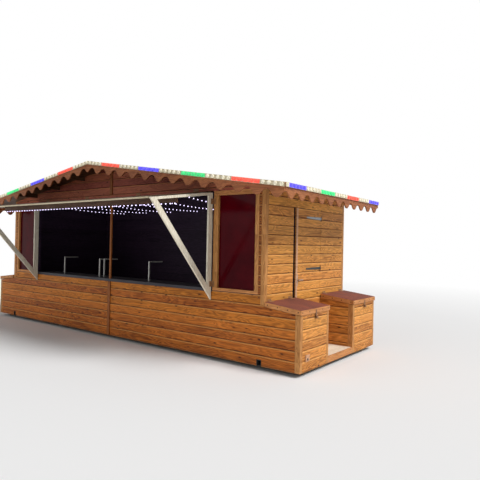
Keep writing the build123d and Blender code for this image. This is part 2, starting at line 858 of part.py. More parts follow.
with BuildPart() as hinge_plates:
    for height in strap_heights:
        axis_plane = Plane((door_axis_x, door_axis_y, base_bottom + height))
        door_leaf, door_throat = wall_plate(clear_of_barrel, gap_rear - door_axis_y - knuckle_gap)
        hinge_half(axis_plane, strap_wide * 2, False, door_leaf, door_throat)
    leaf, throat = wall_plate(clear_of_barrel, short_leaf_width)
    for name, side, low_y, high_y in lids:
        for hinge_y in (low_y + lid_hinge_inset, high_y - lid_hinge_inset):
            hinge_half(lid_hinge_plane(side, hinge_y), lid_hinge_length, False, leaf, throat)
    leaf, throat = wall_plate(clear_of_barrel, leaf_width)
    for x in flap_hinge_places:
        upright = Plane((x, flap_axis_y, flap_axis_z), x_dir=(0, -1, 0), z_dir=(-1, 0, 0))
        hinge_half(upright, flap_hinge_length, False, leaf, throat)
    for side in (-1, 1):
        for height in bracket_hinge_heights:
            upright = Plane((side * bracket_axis_x, bracket_axis_y, base_bottom + height),
                            x_dir=(0, -1, 0), z_dir=(0, 0, side))
            hinge_half(upright, bracket_hinge_length, False, leaf, throat)
save(hinge_plates, "hinge_plates")

# Roof boards over both slopes, and the folded cap on the ridge
roof_side = eave_half - edge_board_thickness
with BuildPart() as roof_boards:
    outline = [
        (0, roof_top(0)),
        (roof_side, roof_top(roof_side)),
        (roof_side, roof_under(roof_side)),
        (0, roof_under(0)),
        (-roof_side, roof_under(roof_side)),
        (-roof_side, roof_top(roof_side)),
    ]
    front_slab(outline, edge_front, edge_rear)
save(roof_boards, "roof_boards")

with BuildPart() as ridge_cap:
    outline = [
        (0, roof_top(0)),
        (ridge_cap_half, roof_top(ridge_cap_half)),
        (ridge_cap_half, roof_top(ridge_cap_half) + ridge_cap_thickness),
        (0, roof_top(0) + ridge_cap_thickness),
        (-ridge_cap_half, roof_top(ridge_cap_half) + ridge_cap_thickness),
        (-ridge_cap_half, roof_top(ridge_cap_half)),
    ]
    front_slab(outline, edge_front, edge_rear)
save(ridge_cap, "ridge_cap")

# Scalloped edge boards: a straight upper edge, and below it a wave of arcs with
# straight flanks between them


def scallop_board(plane, start, end, tips, pitch):
    """Board on a plane from start to end, with lobes down to the given tips."""
    flank = radians(scallop_flank)
    both_radii = (pitch / 2 * tan(flank) - scallop_depth) / (1 / cos(flank) - 1)
    tip_radius = both_radii * scallop_tip_share
    crest_radius = both_radii - tip_radius
    tip_half, crest_half = tip_radius * sin(flank), crest_radius * sin(flank)
    tip_level = -edge_board_height
    crest_level = tip_level + scallop_depth
    tip_end = tip_level + tip_radius * (1 - cos(flank))
    crest_end = crest_level - crest_radius * (1 - cos(flank))
    first, last = tips[0] - pitch / 2 - crest_half, tips[-1] + pitch / 2 + crest_half
    with BuildSketch(plane) as outline:
        with BuildLine():
            Polyline((first, crest_end), (start, crest_end), (start, 0),
                     (end, 0), (end, crest_end), (last, crest_end))
            for tip_place in reversed(tips):
                crest_place, next_crest = tip_place + pitch / 2, tip_place - pitch / 2
                ThreePointArc((crest_place + crest_half, crest_end), (crest_place, crest_level),
                              (crest_place - crest_half, crest_end))
                Line((crest_place - crest_half, crest_end), (tip_place + tip_half, tip_end))
                ThreePointArc((tip_place + tip_half, tip_end), (tip_place, tip_level),
                              (tip_place - tip_half, tip_end))
                Line((tip_place - tip_half, tip_end), (next_crest + crest_half, crest_end))
            ThreePointArc((next_crest + crest_half, crest_end), (next_crest, crest_level), (first, crest_end))
        make_face()
    extrude(outline.sketch, amount=edge_board_thickness)


slope_length = eave_half * (1 + roof_fall ** 2) ** 0.5
verge_pitch = (slope_length - verge_corner_to_tip) / verge_lobes
verge_tips = [index * verge_pitch for index in range(verge_lobes + 1)]


def slope_plane(y):
    """Plane across the hut whose X runs down the right slope from the apex."""
    return Plane((0, y, apex), x_dir=(1, 0, -roof_fall), z_dir=(0, -1, 0))


def both_slopes():
    """Trim a piece drawn on the right slope at the apex and the eave, and mirror it."""
    reach = 4 * base_half
    block((-reach, -reach, 0), (0, reach, reach), mode=Mode.SUBTRACT)
    block((eave_half, -reach, 0), (reach, reach, reach), mode=Mode.SUBTRACT)
    mirror(about=Plane.YZ)


# Verge boards: scalloped at the front, plain and as low as the scallops' crests at the rear
rear_verge_height = edge_board_height - scallop_depth
with BuildPart() as verge_boards:
    scallop_board(slope_plane(edge_front), -verge_pitch, slope_length + verge_pitch, verge_tips, verge_pitch)
    with BuildSketch(slope_plane(roof_rear)):
        with Locations((slope_length / 2, -rear_verge_height / 2)):
            Rectangle(slope_length + 2 * verge_pitch, rear_verge_height)
    extrude(amount=edge_board_thickness)
    both_slopes()
save(verge_boards, "verge_boards")

eave_tip_count = int((roof_rear - roof_front - eave_corner_to_tip - eave_pitch / 4) / eave_pitch) + 1
eave_tips = [eave_corner_to_tip + index * eave_pitch for index in range(eave_tip_count)]
with BuildPart() as eave_boards:
    for side in (-1, 1):
        inner_x = min(side * roof_side, side * eave_half)
        eave_plane = Plane((inner_x, roof_front, roof_top(eave_half)), x_dir=(0, 1, 0), z_dir=(1, 0, 0))
        scallop_board(eave_plane, -eave_pitch, roof_rear - roof_front + eave_pitch, eave_tips, eave_pitch)
    reach = 4 * base_half
    block((-reach, -reach, 0), (reach, edge_front, reach), mode=Mode.SUBTRACT)
    block((-reach, edge_rear, 0), (reach, reach, reach), mode=Mode.SUBTRACT)
save(eave_boards, "eave_boards")

# Rails that carry the lamps, along the front slopes and both eaves
with BuildPart() as lamp_rail_front:
    with BuildSketch(slope_plane(roof_front)):
        with Locations((slope_length / 2, -lamp_rail_height / 2)):
            Rectangle(slope_length + 2 * verge_pitch, lamp_rail_height)
    extrude(amount=lamp_rail_thickness)
    both_slopes()
save(lamp_rail_front, "lamp_rail_front")

with BuildPart() as lamp_rails_side:
    for side in (-1, 1):
        low_x, high_x = sorted((side * eave_half, side * (eave_half + lamp_rail_thickness)))
        block((low_x, roof_front, roof_top(eave_half) - lamp_rail_height),
              (high_x, roof_rear, roof_top(eave_half)))
save(lamp_rails_side, "lamp_rails_side")
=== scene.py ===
"""Dresses the market hut: boards, felt, screws, lamps, light strings, light and camera."""
import json
import logging
import math
from dataclasses import dataclass
from enum import Enum
from functools import cache
from typing import Callable, Iterator, Optional, Sequence

import bmesh
import bpy
from mathutils import Matrix, Vector

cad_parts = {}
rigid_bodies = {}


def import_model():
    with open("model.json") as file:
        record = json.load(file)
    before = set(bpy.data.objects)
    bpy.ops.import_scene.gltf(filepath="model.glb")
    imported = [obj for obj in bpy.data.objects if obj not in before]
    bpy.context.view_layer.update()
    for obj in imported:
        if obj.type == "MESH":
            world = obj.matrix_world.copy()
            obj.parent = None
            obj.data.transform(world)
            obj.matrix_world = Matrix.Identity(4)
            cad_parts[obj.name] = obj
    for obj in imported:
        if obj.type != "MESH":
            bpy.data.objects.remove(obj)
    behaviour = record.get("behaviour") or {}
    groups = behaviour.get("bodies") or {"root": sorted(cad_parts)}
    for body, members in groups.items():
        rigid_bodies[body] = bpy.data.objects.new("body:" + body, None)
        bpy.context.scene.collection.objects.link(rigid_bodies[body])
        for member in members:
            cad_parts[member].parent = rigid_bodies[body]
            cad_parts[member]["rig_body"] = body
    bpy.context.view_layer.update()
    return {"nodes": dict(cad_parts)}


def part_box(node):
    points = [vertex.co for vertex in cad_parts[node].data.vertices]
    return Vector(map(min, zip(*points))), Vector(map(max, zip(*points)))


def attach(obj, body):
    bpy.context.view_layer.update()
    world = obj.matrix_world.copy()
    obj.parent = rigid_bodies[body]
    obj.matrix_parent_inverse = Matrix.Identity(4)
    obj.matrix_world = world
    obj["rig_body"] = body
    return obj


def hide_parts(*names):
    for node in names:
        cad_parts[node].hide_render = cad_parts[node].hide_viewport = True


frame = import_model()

LOG = logging.getLogger("market_hut")
Colour = tuple[float, float, float]
Mesh = bmesh.types.BMesh
Vert = bmesh.types.BMVert
Edge = bmesh.types.BMEdge
Tree = bpy.types.NodeTree
Node = bpy.types.Node
Socket = bpy.types.NodeSocket
Material = bpy.types.Material
Piece = bpy.types.Object
Kinds = dict[str, Sequence[str]]
SlotOf = Callable[[Vector, Vector], int]

UP = Vector((0, 0, 1))
# Level board seams in metres: height of the first, and the boards' cover
SEAM_START = 0.198
BOARD_PITCH = 0.135
# Where the flap's painted edges and the bare door strap lie
FLAP_PAINT_FROM = -2.0
BARE_STRAP_FROM = 1.9
# Meshes: merging, joining of flat faces, edges that count as sharp, and faces that look one way
MERGE_DISTANCE = 1e-5
FLAT_ANGLE = 0.01
SHARP_ANGLE = 0.5
FACING = 0.5
SQUARE_ON = 0.9
SCREW_RISE = 0.001
SCREW_TAPER = 0.8
# Timber: scales of its figure, and spans as low, high, result at low, result at high
BOARD_SLIDE = 9.0
GRAIN_SCALE = 1.6
GRAIN_TONES = (0.25, 0.75, 0.32, 0.72)
GRAIN_ROUGHNESS = (0.2, 0.8, 0.62, 0.46)
GRAIN_RELIEF = 0.6
FIGURE_SCALE = 0.42
FIGURE_SHARE = (0.47, 0.47, 0.47)
FIGURE_EVEN = (2.2, 2.2, 2.2)
RING_COUNT = 60.0
RING_TONES = (-1.0, 1.0, -0.2, 0.2)
PATCH_SCALE = 1.1
PATCH_TONES = (0.3, 0.7, -0.1, 0.1)
# Painted shade at a board's foot and a painted highlight of a pale colour at its top, as spans of the place
# within a board
FOOT_SHADE = (0.16, 0.03, 0.0, 0.35)
TOP_SHINE = (0.84, 0.93, 0.0, 0.5)
PAINTED_HIGHLIGHT = (248, 188, 114)
CELLS_WITHOUT_KNOT = 0.45
KNOT_EDGE = (0.07, 0.16, 1.0, 0.0)
KNOT_HALO = (0.08, 0.26, 0.3, 0.0)
KNOT_RELIEF = 0.2
HUE_SPREAD = 0.035
HUE_TURNS = 7.0
# Other surfaces: speckles, stains, and laps of felt
MIDDLE_SPAN = (0.3, 0.7)
SPECKLE_TONES = (*MIDDLE_SPAN, 0.2, 0.8)
STAIN_SCALE = 2.4
STAIN_TONES = (*MIDDLE_SPAN, -0.5, 0.5)
NO_LAP = 0.01
LAP_WIDTH = 0.02
LAP_DEPTH = 0.6
ROUGHNESS_SPREAD = 0.15


class Side(Enum):
    """Outward direction of a boarded face."""

    FRONT = (0.0, -1.0, 0.0)
    REAR = (0.0, 1.0, 0.0)
    RIGHT = (1.0, 0.0, 0.0)
    LEFT = (-1.0, 0.0, 0.0)


FRONT, REAR, RIGHT, LEFT = (Vector(side.value) for side in Side)


class Grain(Enum):
    """Direction of a timber's grain, as its stretch and its spacing of knots."""

    LEVEL = ((1.4, 1.4, 48.0), (5.2, 5.2, 14.0))
    UPRIGHT = ((48.0, 48.0, 1.4), (14.0, 14.0, 4.0))
    FLAT = ((1.4, 30.0, 30.0), (4.0, 12.0, 12.0))


def linear(colour: Sequence[float]) -> tuple[float, ...]:
    """Turn a display colour of 0 to 255 into the linear colour of a shader, with an alpha of 1."""
    levels = [value / 255 for value in colour]
    return (*(v / 12.92 if v <= 0.04045 else ((v + 0.055) / 1.055) ** 2.4 for v in levels), 1.0)


class Nodes:
    """A node tree that is filled by short calls."""

    def __init__(self, tree: Tree) -> None:
        """Keep the tree to fill."""
        self.tree = tree

    def add(self, kind: str, inputs: Optional[dict] = None, **settings: object) -> Node:
        """Add a node, set its properties and feed its inputs.

        Args:
            kind: Node type name after ShaderNode.
            inputs: Values or sockets, by input name or index.
            settings: Properties of the node.

        Returns:
            The new node.
        """
        node = self.tree.nodes.new(f"ShaderNode{kind}")
        for key, value in settings.items():
            setattr(node, key, value)
        self.feed(node, inputs or {})
        return node

    def feed(self, node: Node, inputs: dict) -> None:
        """Feed a node's inputs with values or sockets, by input name or index."""
        for key, value in inputs.items():
            if isinstance(value, Socket):
                self.tree.links.new(value, node.inputs[key])
            else:
                node.inputs[key].default_value = value

    def math(self, operation: str, *values: object) -> Socket:
        """Add a Math node and return its result."""
        return self.add("Math", dict(enumerate(values)), operation=operation).outputs[0]

    def vector(self, operation: str, *values: object) -> Socket:
        """Add a Vector Math node and return its vector."""
        return self.add("VectorMath", dict(enumerate(values)), operation=operation).outputs[0]

    def span(self, value: object, low: float, high: float,
             to_low: float = 0.0, to_high: float = 1.0) -> Socket:
        """Map a value from one span to another, held inside it.

        Args:
            value: Socket to map.
            low: Value that becomes to_low.
            high: Value that becomes to_high.
            to_low: Result at low.
            to_high: Result at high.

        Returns:
            The mapped socket.
        """
        node = self.add("MapRange", {0: value, 1: low, 2: high, 3: to_low, 4: to_high})
        return node.outputs[0]

    def mix(self, factor: object, first: object, second: object) -> Socket:
        """Mix two colours and return the result."""
        node = self.add("Mix", {0: factor, 6: first, 7: second}, data_type="RGBA")
        return node.outputs[2]

    def noise(self, vector: object, scale: object, detail: float = 3.0, distortion: float = 0.0) -> Socket:
        """Add a noise and return its value from 0 to 1."""
        inputs = {"Vector": vector, "Scale": scale, "Detail": detail, "Distortion": distortion}
        return self.add("TexNoise", inputs).outputs[0]


def new_group(name: str, inputs: Kinds, outputs: Kinds) -> tuple[Tree, Nodes, dict, Node]:
    """Start a shader node group with named sockets.

    Args:
        name: Name of the group.
        inputs: Names of the inputs, by kind of socket.
        outputs: Names of the outputs, by kind of socket.

    Returns:
        The group, its nodes, its input sockets by name, and its output node.
    """
    tree = bpy.data.node_groups.new(name, "ShaderNodeTree")
    for in_out, kinds in (("INPUT", inputs), ("OUTPUT", outputs)):
        for kind, names in kinds.items():
            for socket in names:
                tree.interface.new_socket(name=socket, in_out=in_out, socket_type=f"NodeSocket{kind}")
    nodes = Nodes(tree)
    source, sink = (tree.nodes.new(f"NodeGroup{kind}") for kind in ("Input", "Output"))
    return tree, nodes, {s: source.outputs[s] for names in inputs.values() for s in names}, sink


@cache
def timber_group() -> Tree:
    """Build the effect of oiled softwood, with boards, grain, figure, knots, painted shade at each board's
    foot and a painted highlight at its top, and return it.
    """
    inputs = {"Vector": ("Vector", "Stretch", "Knot Spacing"), "Color": ("Light", "Dark", "Knot"),
              "Float": ("Board Spread", "Knot Amount", "Seam Light And Shade")}
    outputs = {"Color": ("Color",), "Float": ("Height", "Roughness")}
    tree, n, sockets, sink = new_group("timber_grain", inputs, outputs)
    # Each board has a number, a chance of its own and a slide of its figure
    height = n.add("SeparateXYZ", {0: sockets["Vector"]}).outputs[2]
    place = n.math("DIVIDE", n.math("SUBTRACT", height, SEAM_START), BOARD_PITCH)
    board = n.math("FLOOR", place)
    level = n.math("FRACT", place)
    chance = n.add("TexWhiteNoise", {"W": board}, noise_dimensions="1D").outputs[0]
    slide = n.math("MULTIPLY", chance, BOARD_SLIDE)
    offset = n.add("CombineXYZ", {0: slide, 1: slide, 2: 0.0}).outputs[0]
    moved = n.vector("ADD", sockets["Vector"], offset)
    # Fine grain, rings of a looser figure, and broad patches
    fine = n.noise(n.vector("MULTIPLY", moved, sockets["Stretch"]), GRAIN_SCALE, detail=5.0, distortion=0.6)
    loose = n.vector("ADD", n.vector("MULTIPLY", sockets["Stretch"], FIGURE_SHARE), FIGURE_EVEN)
    figure = n.noise(n.vector("MULTIPLY", moved, loose), FIGURE_SCALE, detail=2.0, distortion=1.0)
    rings = n.math("SINE", n.math("MULTIPLY", figure, RING_COUNT))
    broad = n.noise(moved, PATCH_SCALE, detail=2.0)
    board_tone = n.math("MULTIPLY", n.math("SUBTRACT", chance, 0.5), sockets["Board Spread"])
    tone = n.math("ADD", n.span(fine, *GRAIN_TONES), n.span(rings, *RING_TONES))
    tone = n.math("ADD", tone, board_tone)
    tone = n.math("ADD", tone, n.span(broad, *PATCH_TONES))
    # Painted shade at a board's foot and a painted highlight at its top
    shade = n.math("MULTIPLY", n.span(level, *FOOT_SHADE), sockets["Seam Light And Shade"])
    tone = n.math("SUBTRACT", tone, shade)
    shine = n.math("MULTIPLY", n.span(level, *TOP_SHINE), sockets["Seam Light And Shade"])
    # Knots with a soft halo, in some of the cells
    cells = n.add("TexVoronoi", {"Vector": n.vector("MULTIPLY", moved, sockets["Knot Spacing"]),
                                           "Scale": 1.0})
    draw = n.add("SeparateXYZ", {0: cells.outputs["Color"]}).outputs[0]
    picked = n.math("GREATER_THAN", draw, CELLS_WITHOUT_KNOT)
    near = n.span(cells.outputs["Distance"], *KNOT_EDGE)
    halo = n.span(cells.outputs["Distance"], *KNOT_HALO)
    knot = n.math("MULTIPLY", n.math("MULTIPLY", near, picked), sockets["Knot Amount"])
    ring = n.math("MULTIPLY", n.math("MULTIPLY", halo, picked), sockets["Knot Amount"])
    tone = n.math("SUBTRACT", tone, ring)
    colour = n.mix(n.span(tone, 0.0, 1.0), sockets["Dark"], sockets["Light"])
    # A small turn of hue from board to board
    twist = n.math("FRACT", n.math("MULTIPLY", chance, HUE_TURNS))
    turn = n.math("MULTIPLY", n.math("SUBTRACT", twist, 0.5), sockets["Board Spread"])
    hue = n.math("ADD", n.math("MULTIPLY", turn, HUE_SPREAD), 0.5)
    colour = n.add("HueSaturation", {"Hue": hue, "Color": colour}).outputs[0]
    # Painted highlight: a pale colour laid over the top of each board
    colour = n.mix(shine, colour, linear(PAINTED_HIGHLIGHT))
    relief = n.math("SUBTRACT", n.math("MULTIPLY", fine, GRAIN_RELIEF), n.math("MULTIPLY", knot, KNOT_RELIEF))
    n.feed(sink, {"Color": n.mix(knot, colour, sockets["Knot"]), "Height": relief,
                  "Roughness": n.span(fine, *GRAIN_ROUGHNESS)})
    return tree


@cache
def speckle_group() -> Tree:
    """Build the effect of a worn surface, with speckles, stains and laps, and return it."""
    inputs = {"Vector": ("Vector",), "Color": ("Light", "Dark"), "Float": ("Speckle Scale", "Stain", "Lap")}
    outputs = {"Color": ("Color",), "Float": ("Height", "Wear")}
    tree, n, sockets, sink = new_group("speckle_wear", inputs, outputs)
    grains = n.add("TexNoise", {"Vector": sockets["Vector"], "Scale": sockets["Speckle Scale"],
                                          "Detail": 2.0}).outputs[0]
    stains = n.noise(sockets["Vector"], STAIN_SCALE, detail=4.0, distortion=0.5)
    stain = n.math("MULTIPLY", n.span(stains, *STAIN_TONES), sockets["Stain"])
    tone = n.math("ADD", n.span(grains, *SPECKLE_TONES), stain)
    along = n.math("ABSOLUTE", n.add("SeparateXYZ", {0: sockets["Vector"]}).outputs[0])
    lap_place = n.math("FRACT", n.math("MULTIPLY", along, sockets["Lap"]))
    has_laps = n.math("GREATER_THAN", sockets["Lap"], NO_LAP)
    lap = n.math("MULTIPLY", n.span(lap_place, 0.0, LAP_WIDTH, 1.0, 0.0), has_laps)
    tone = n.math("SUBTRACT", tone, n.math("MULTIPLY", lap, LAP_DEPTH))
    n.feed(sink, {"Color": n.mix(n.span(tone, 0.0, 1.0), sockets["Dark"], sockets["Light"]),
                  "Height": n.math("SUBTRACT", grains, lap), "Wear": n.span(stains, *MIDDLE_SPAN)})
    return tree


def empty_nodes(owner: bpy.types.ID) -> Nodes:
    """Turn on the nodes of a material or world, clear them, and return them."""
    owner.use_nodes = True
    owner.node_tree.nodes.clear()
    return Nodes(owner.node_tree)


def start_material(name: str) -> tuple[Material, Nodes, Node, Socket]:
    """Start a material with a Principled BSDF.

    Args:
        name: Name of the material.

    Returns:
        The material, its nodes, the shader, and the object coordinates.
    """
    material = bpy.data.materials.new(name)
    nodes = empty_nodes(material)
    shader = nodes.add("BsdfPrincipled")
    nodes.add("OutputMaterial", {"Surface": shader.outputs[0]})
    return material, nodes, shader, nodes.add("TexCoord").outputs["Object"]


@dataclass(frozen=True)
class Timber:
    """Oiled or painted wood with grain and knots, and with painted shade and highlights at its board seams.
    """

    name: str
    light: Colour
    dark: Colour
    knot: Colour = (58, 30, 16)
    grain: Grain = Grain.LEVEL
    board_spread: float = 0.0
    knots: float = 1.0
    seam_light_and_shade: float = 0.0
    bump: float = 0.0012
    relief: float = 0.6
    specular: float = 0.18

    def material(self) -> Material:
        """Build the wood's material and return it."""
        material, nodes, shader, place = start_material(self.name)
        stretch, spacing = self.grain.value
        effect = nodes.add("Group", node_tree=timber_group())
        nodes.feed(effect, {
            "Vector": place, "Stretch": stretch, "Knot Spacing": spacing, "Light": linear(self.light),
            "Dark": linear(self.dark), "Knot": linear(self.knot), "Board Spread": self.board_spread,
            "Knot Amount": self.knots, "Seam Light And Shade": self.seam_light_and_shade})
        relief = {"Height": effect.outputs["Height"], "Strength": self.relief, "Distance": self.bump}
        nodes.feed(shader, {
            "Base Color": effect.outputs["Color"], "Roughness": effect.outputs["Roughness"],
            "Normal": nodes.add("Bump", relief).outputs[0], "Specular IOR Level": self.specular})
        return material


@dataclass(frozen=True)
class Surface:
    """Metal, paint, felt, plastic or coated sheet with speckles and stains."""

    name: str
    light: Colour
    dark: Colour
    roughness: float = 0.5
    metallic: float = 0.0
    speckle_scale: float = 60.0
    stain: float = 0.6
    lap: float = 0.0
    bump: float = 0.0004
    relief: float = 0.5
    specular: float = 0.5

    def material(self) -> Material:
        """Build the surface's material and return it."""
        material, nodes, shader, place = start_material(self.name)
        effect = nodes.add("Group", node_tree=speckle_group())
        nodes.feed(effect, {
            "Vector": place, "Light": linear(self.light), "Dark": linear(self.dark),
            "Speckle Scale": self.speckle_scale, "Stain": self.stain, "Lap": self.lap})
        smoothest = self.roughness * (1 - ROUGHNESS_SPREAD)
        roughest = min(1.0, self.roughness * (1 + ROUGHNESS_SPREAD))
        relief = {"Height": effect.outputs["Height"], "Strength": self.relief, "Distance": self.bump}
        nodes.feed(shader, {
            "Base Color": effect.outputs["Color"], "Metallic": self.metallic,
            "Roughness": nodes.span(effect.outputs["Wear"], 0.0, 1.0, smoothest, roughest),
            "Normal": nodes.add("Bump", relief).outputs[0], "Specular IOR Level": self.specular})
        return material


@dataclass(frozen=True)
class Lamp:
    """Translucent coloured cap that glows."""

    name: str
    colour: Colour
    glow: float
    mottle_scale: float = 40.0
    mottle: float = 0.8
    roughness: float = 0.3

    def material(self) -> Material:
        """Build the cap's material and return it."""
        material, nodes, shader, place = start_material(self.name)
        mottle = nodes.span(nodes.noise(place, self.mottle_scale, detail=1.0), *MIDDLE_SPAN)
        tint = nodes.mix(mottle, linear([value * self.mottle for value in self.colour]), linear(self.colour))
        nodes.feed(shader, {"Base Color": tint, "Emission Color": tint, "Emission Strength": self.glow,
                            "Roughness": self.roughness})
        return material


FINISHES = {
    item.name: item
    for item in (
        # The next two are one timber in two copies: the first darker, with painted shade, for the front, rear
        # and left walls, the second lighter, with painted light, for the lit right side and the door
        Timber("oiled_boards", (226, 137, 50), (102, 47, 9), board_spread=0.3, seam_light_and_shade=1.0),
        Timber("lit_right_boards", (244, 170, 84), (124, 70, 25), board_spread=0.24, seam_light_and_shade=1.0),
        Timber("strip_boards", (176, 102, 46), (98, 52, 20), board_spread=0.2, seam_light_and_shade=1.0),
        Timber("gable_boards", (200, 112, 84), (124, 64, 48), board_spread=0.4, seam_light_and_shade=0.6),
        Timber("light_timber", (216, 156, 92), (146, 92, 48), grain=Grain.UPRIGHT, knots=0.5),
        # A darker copy of light_timber with painted shade, for faces that look to the front
        Timber("shaded_front_timber", (172, 104, 52), (110, 62, 30), grain=Grain.UPRIGHT, knots=0.5),
        Timber("light_rail", (224, 156, 96), (154, 98, 54), knots=0.5),
        Timber("dark_timber", (70, 48, 34), (34, 24, 18), grain=Grain.UPRIGHT, knots=0.3),
        Timber("scallop_wood", (178, 112, 70), (112, 64, 40), knots=0.4, board_spread=0.1),
        # Painted shade: a dark sheet for the shaded inside, the backing seen in the seams, and the reveals
        Timber("painted_shade_lining", (70, 52, 74), (40, 30, 44), knots=0.2, board_spread=0.3),
        Timber("pale_timber", (222, 174, 138), (176, 128, 94), knots=0.2),
        # Dark brown, partly the flap's stain and partly painted shade for its underside
        Timber("flap_stain_and_shade", (104, 74, 54), (62, 44, 34), grain=Grain.FLAT, knots=0.3),
        Timber("deck_wood", (92, 74, 58), (48, 38, 30), grain=Grain.FLAT),
        Timber("cream_timber", (246, 240, 222), (206, 196, 172), (176, 160, 130), Grain.UPRIGHT, knots=0.3),
        Timber("cream_rail", (226, 216, 188), (180, 166, 134), (150, 130, 100), knots=0.2),
        Timber("roof_timber", (112, 84, 60), (60, 44, 32), board_spread=0.2),
        Surface("roof_felt", (70, 68, 68), (40, 39, 40), roughness=0.95, speckle_scale=420.0, lap=1.05,
                bump=0.002),
        Surface("lid_felt", (150, 80, 58), (80, 38, 30), roughness=0.95, speckle_scale=170.0, bump=0.0015),
        Surface("dark_rubber", (48, 48, 50), (26, 26, 28), roughness=0.85),
        Surface("galvanised", (168, 172, 174), (112, 116, 120), roughness=0.42, metallic=0.9,
                speckle_scale=90.0),
        Surface("dark_steel", (74, 78, 78), (44, 47, 48), roughness=0.55, metallic=0.6, speckle_scale=90.0),
        Surface("hinge_steel", (168, 118, 74), (116, 78, 48), roughness=0.6, speckle_scale=90.0),
        Surface("bright_tube", (186, 184, 178), (146, 144, 140), roughness=0.35, metallic=0.3),
        Surface("bright_handle", (190, 190, 192), (150, 150, 152), roughness=0.3, metallic=1.0),
        Surface("screw_head", (58, 46, 38), (36, 30, 26), roughness=0.5, metallic=0.7, speckle_scale=200.0),
        Surface("cream_paint", (250, 240, 220), (220, 204, 180), roughness=0.6, speckle_scale=30.0,
                stain=0.9),
        Surface("grey_counter", (44, 40, 48), (28, 26, 32), roughness=0.6, speckle_scale=500.0, stain=0.3),
        Surface("red_gloss", (82, 3, 15), (60, 1, 10), roughness=0.12, speckle_scale=4.0, stain=0.4,
                bump=0.0001, specular=0.05),
        Surface("dark_flashing", (64, 66, 70), (44, 46, 50), roughness=0.5, metallic=0.3),
        Lamp("lamp_white", (238, 230, 205), 0.35),
        Lamp("lamp_red", (240, 84, 66), 0.8),
        Lamp("lamp_blue", (88, 78, 240), 0.9),
        Lamp("lamp_green", (58, 212, 124), 0.8),
        Lamp("string_light", (226, 214, 255), 3.0),
    )
}


@cache
def finish(name: str) -> Material:
    """Return the material of a finish, built at its first use."""
    return FINISHES[name].material()


def merged_copy(node: str, keep: Optional[Callable[[Vector], bool]] = None) -> Mesh:
    """Copy a CAD node's mesh, merged and with its flat faces whole.

    Args:
        node: Name of the node.
        keep: Test of an island's centre; islands that fail it are left out.

    Returns:
        The copy.
    """
    bm = bmesh.new()
    bm.from_mesh(frame["nodes"][node].data)
    bmesh.ops.remove_doubles(bm, verts=bm.verts[:], dist=MERGE_DISTANCE)
    if keep:
        drop = [v for island in islands(bm) if not keep(middle(island)) for v in island]
        bmesh.ops.delete(bm, geom=drop, context="VERTS")
    join_flat(bm)
    return bm


def join_flat(bm: Mesh) -> None:
    """Join the faces of a mesh that lie in one plane."""
    bmesh.ops.dissolve_limit(bm, angle_limit=FLAT_ANGLE, verts=bm.verts[:], edges=bm.edges[:])


def islands(bm: Mesh) -> list[list[Vert]]:
    """Return the vertices of each connected island of a mesh."""
    left = set(bm.verts)
    found = []
    while left:
        group, stack = [], [left.pop()]
        while stack:
            vert = stack.pop()
            group.append(vert)
            for edge in vert.link_edges:
                other = edge.other_vert(vert)
                if other in left:
                    left.remove(other)
                    stack.append(other)
        found.append(group)
    return found


def middle(verts: Sequence[Vert]) -> Vector:
    """Return the centre of some vertices' box."""
    low = Vector([min(v.co[axis] for v in verts) for axis in range(3)])
    high = Vector([max(v.co[axis] for v in verts) for axis in range(3)])
    return (low + high) / 2


def keep_side(bm: Mesh, point: Vector, away: Vector) -> None:
    """Cut a mesh by a plane, drop what lies on the side of away, and close the cut.

    Args:
        bm: Mesh to cut.
        point: A point on the plane.
        away: Normal that points to the side to drop.
    """
    geometry = bm.verts[:] + bm.edges[:] + bm.faces[:]
    cut = bmesh.ops.bisect_plane(bm, geom=geometry, dist=1e-6, plane_co=point, plane_no=away,
                                 clear_outer=True)
    edges = [e for e in cut["geom_cut"] if isinstance(e, Edge) and e.is_valid]
    bmesh.ops.holes_fill(bm, edges=edges, sides=0)


def soften(bm: Mesh, offset: float, pick: Optional[Callable[[Edge], bool]] = None) -> None:
    """Bevel the sharp edges of a mesh.

    Args:
        bm: Mesh to bevel.
        offset: Width of the bevel in metres.
        pick: Test of the edges to take; all sharp ones without it.
    """
    sharp = [e for e in bm.edges
             if len(e.link_faces) == 2 and e.calc_face_angle(0) > SHARP_ANGLE and (not pick or pick(e))]
    if sharp:
        bmesh.ops.bevel(bm, geom=sharp, offset=offset, offset_type="OFFSET", segments=1, profile=0.5,
                        affect="EDGES", clamp_overlap=True, material=-1)


def add_object(name: str, data: bpy.types.ID) -> Piece:
    """Make an object of some data in the scene and return it."""
    made = bpy.data.objects.new(name, data)
    bpy.context.scene.collection.objects.link(made)
    return made


def stored(name: str, bm: Mesh) -> bpy.types.Mesh:
    """Store a working mesh as mesh data, free it, and return the data."""
    mesh = bpy.data.meshes.new(name)
    bm.to_mesh(mesh)
    bm.free()
    return mesh


def append(target: Mesh, source: Mesh, slot: Optional[int] = None) -> None:
    """Add one mesh to another, and free it.

    Args:
        target: Mesh that grows.
        source: Mesh that is added.
        slot: Material slot of the added faces; each keeps its own without it.
    """
    if slot is not None:
        for face in source.faces:
            face.material_index = slot
    scratch = stored("scratch", source)
    target.from_mesh(scratch)
    bpy.data.meshes.remove(scratch)


def eased_box(name: str, low: Sequence[float], high: Sequence[float], easing: float, body: str) -> None:
    """Make a pale timber piece of one box with eased edges.

    Args:
        name: Name of the piece.
        low: Its low corner.
        high: Its high corner.
        easing: Width of its eased edges.
        body: CAD body that it rides on.
    """
    low, high = Vector(low), Vector(high)
    place = Matrix.Translation((low + high) / 2) @ Matrix.Diagonal((*(high - low), 1.0))
    bm = bmesh.new()
    bmesh.ops.create_cube(bm, size=1.0, matrix=place)
    soften(bm, easing)
    new_piece(name, bm, ("pale_timber",), body)


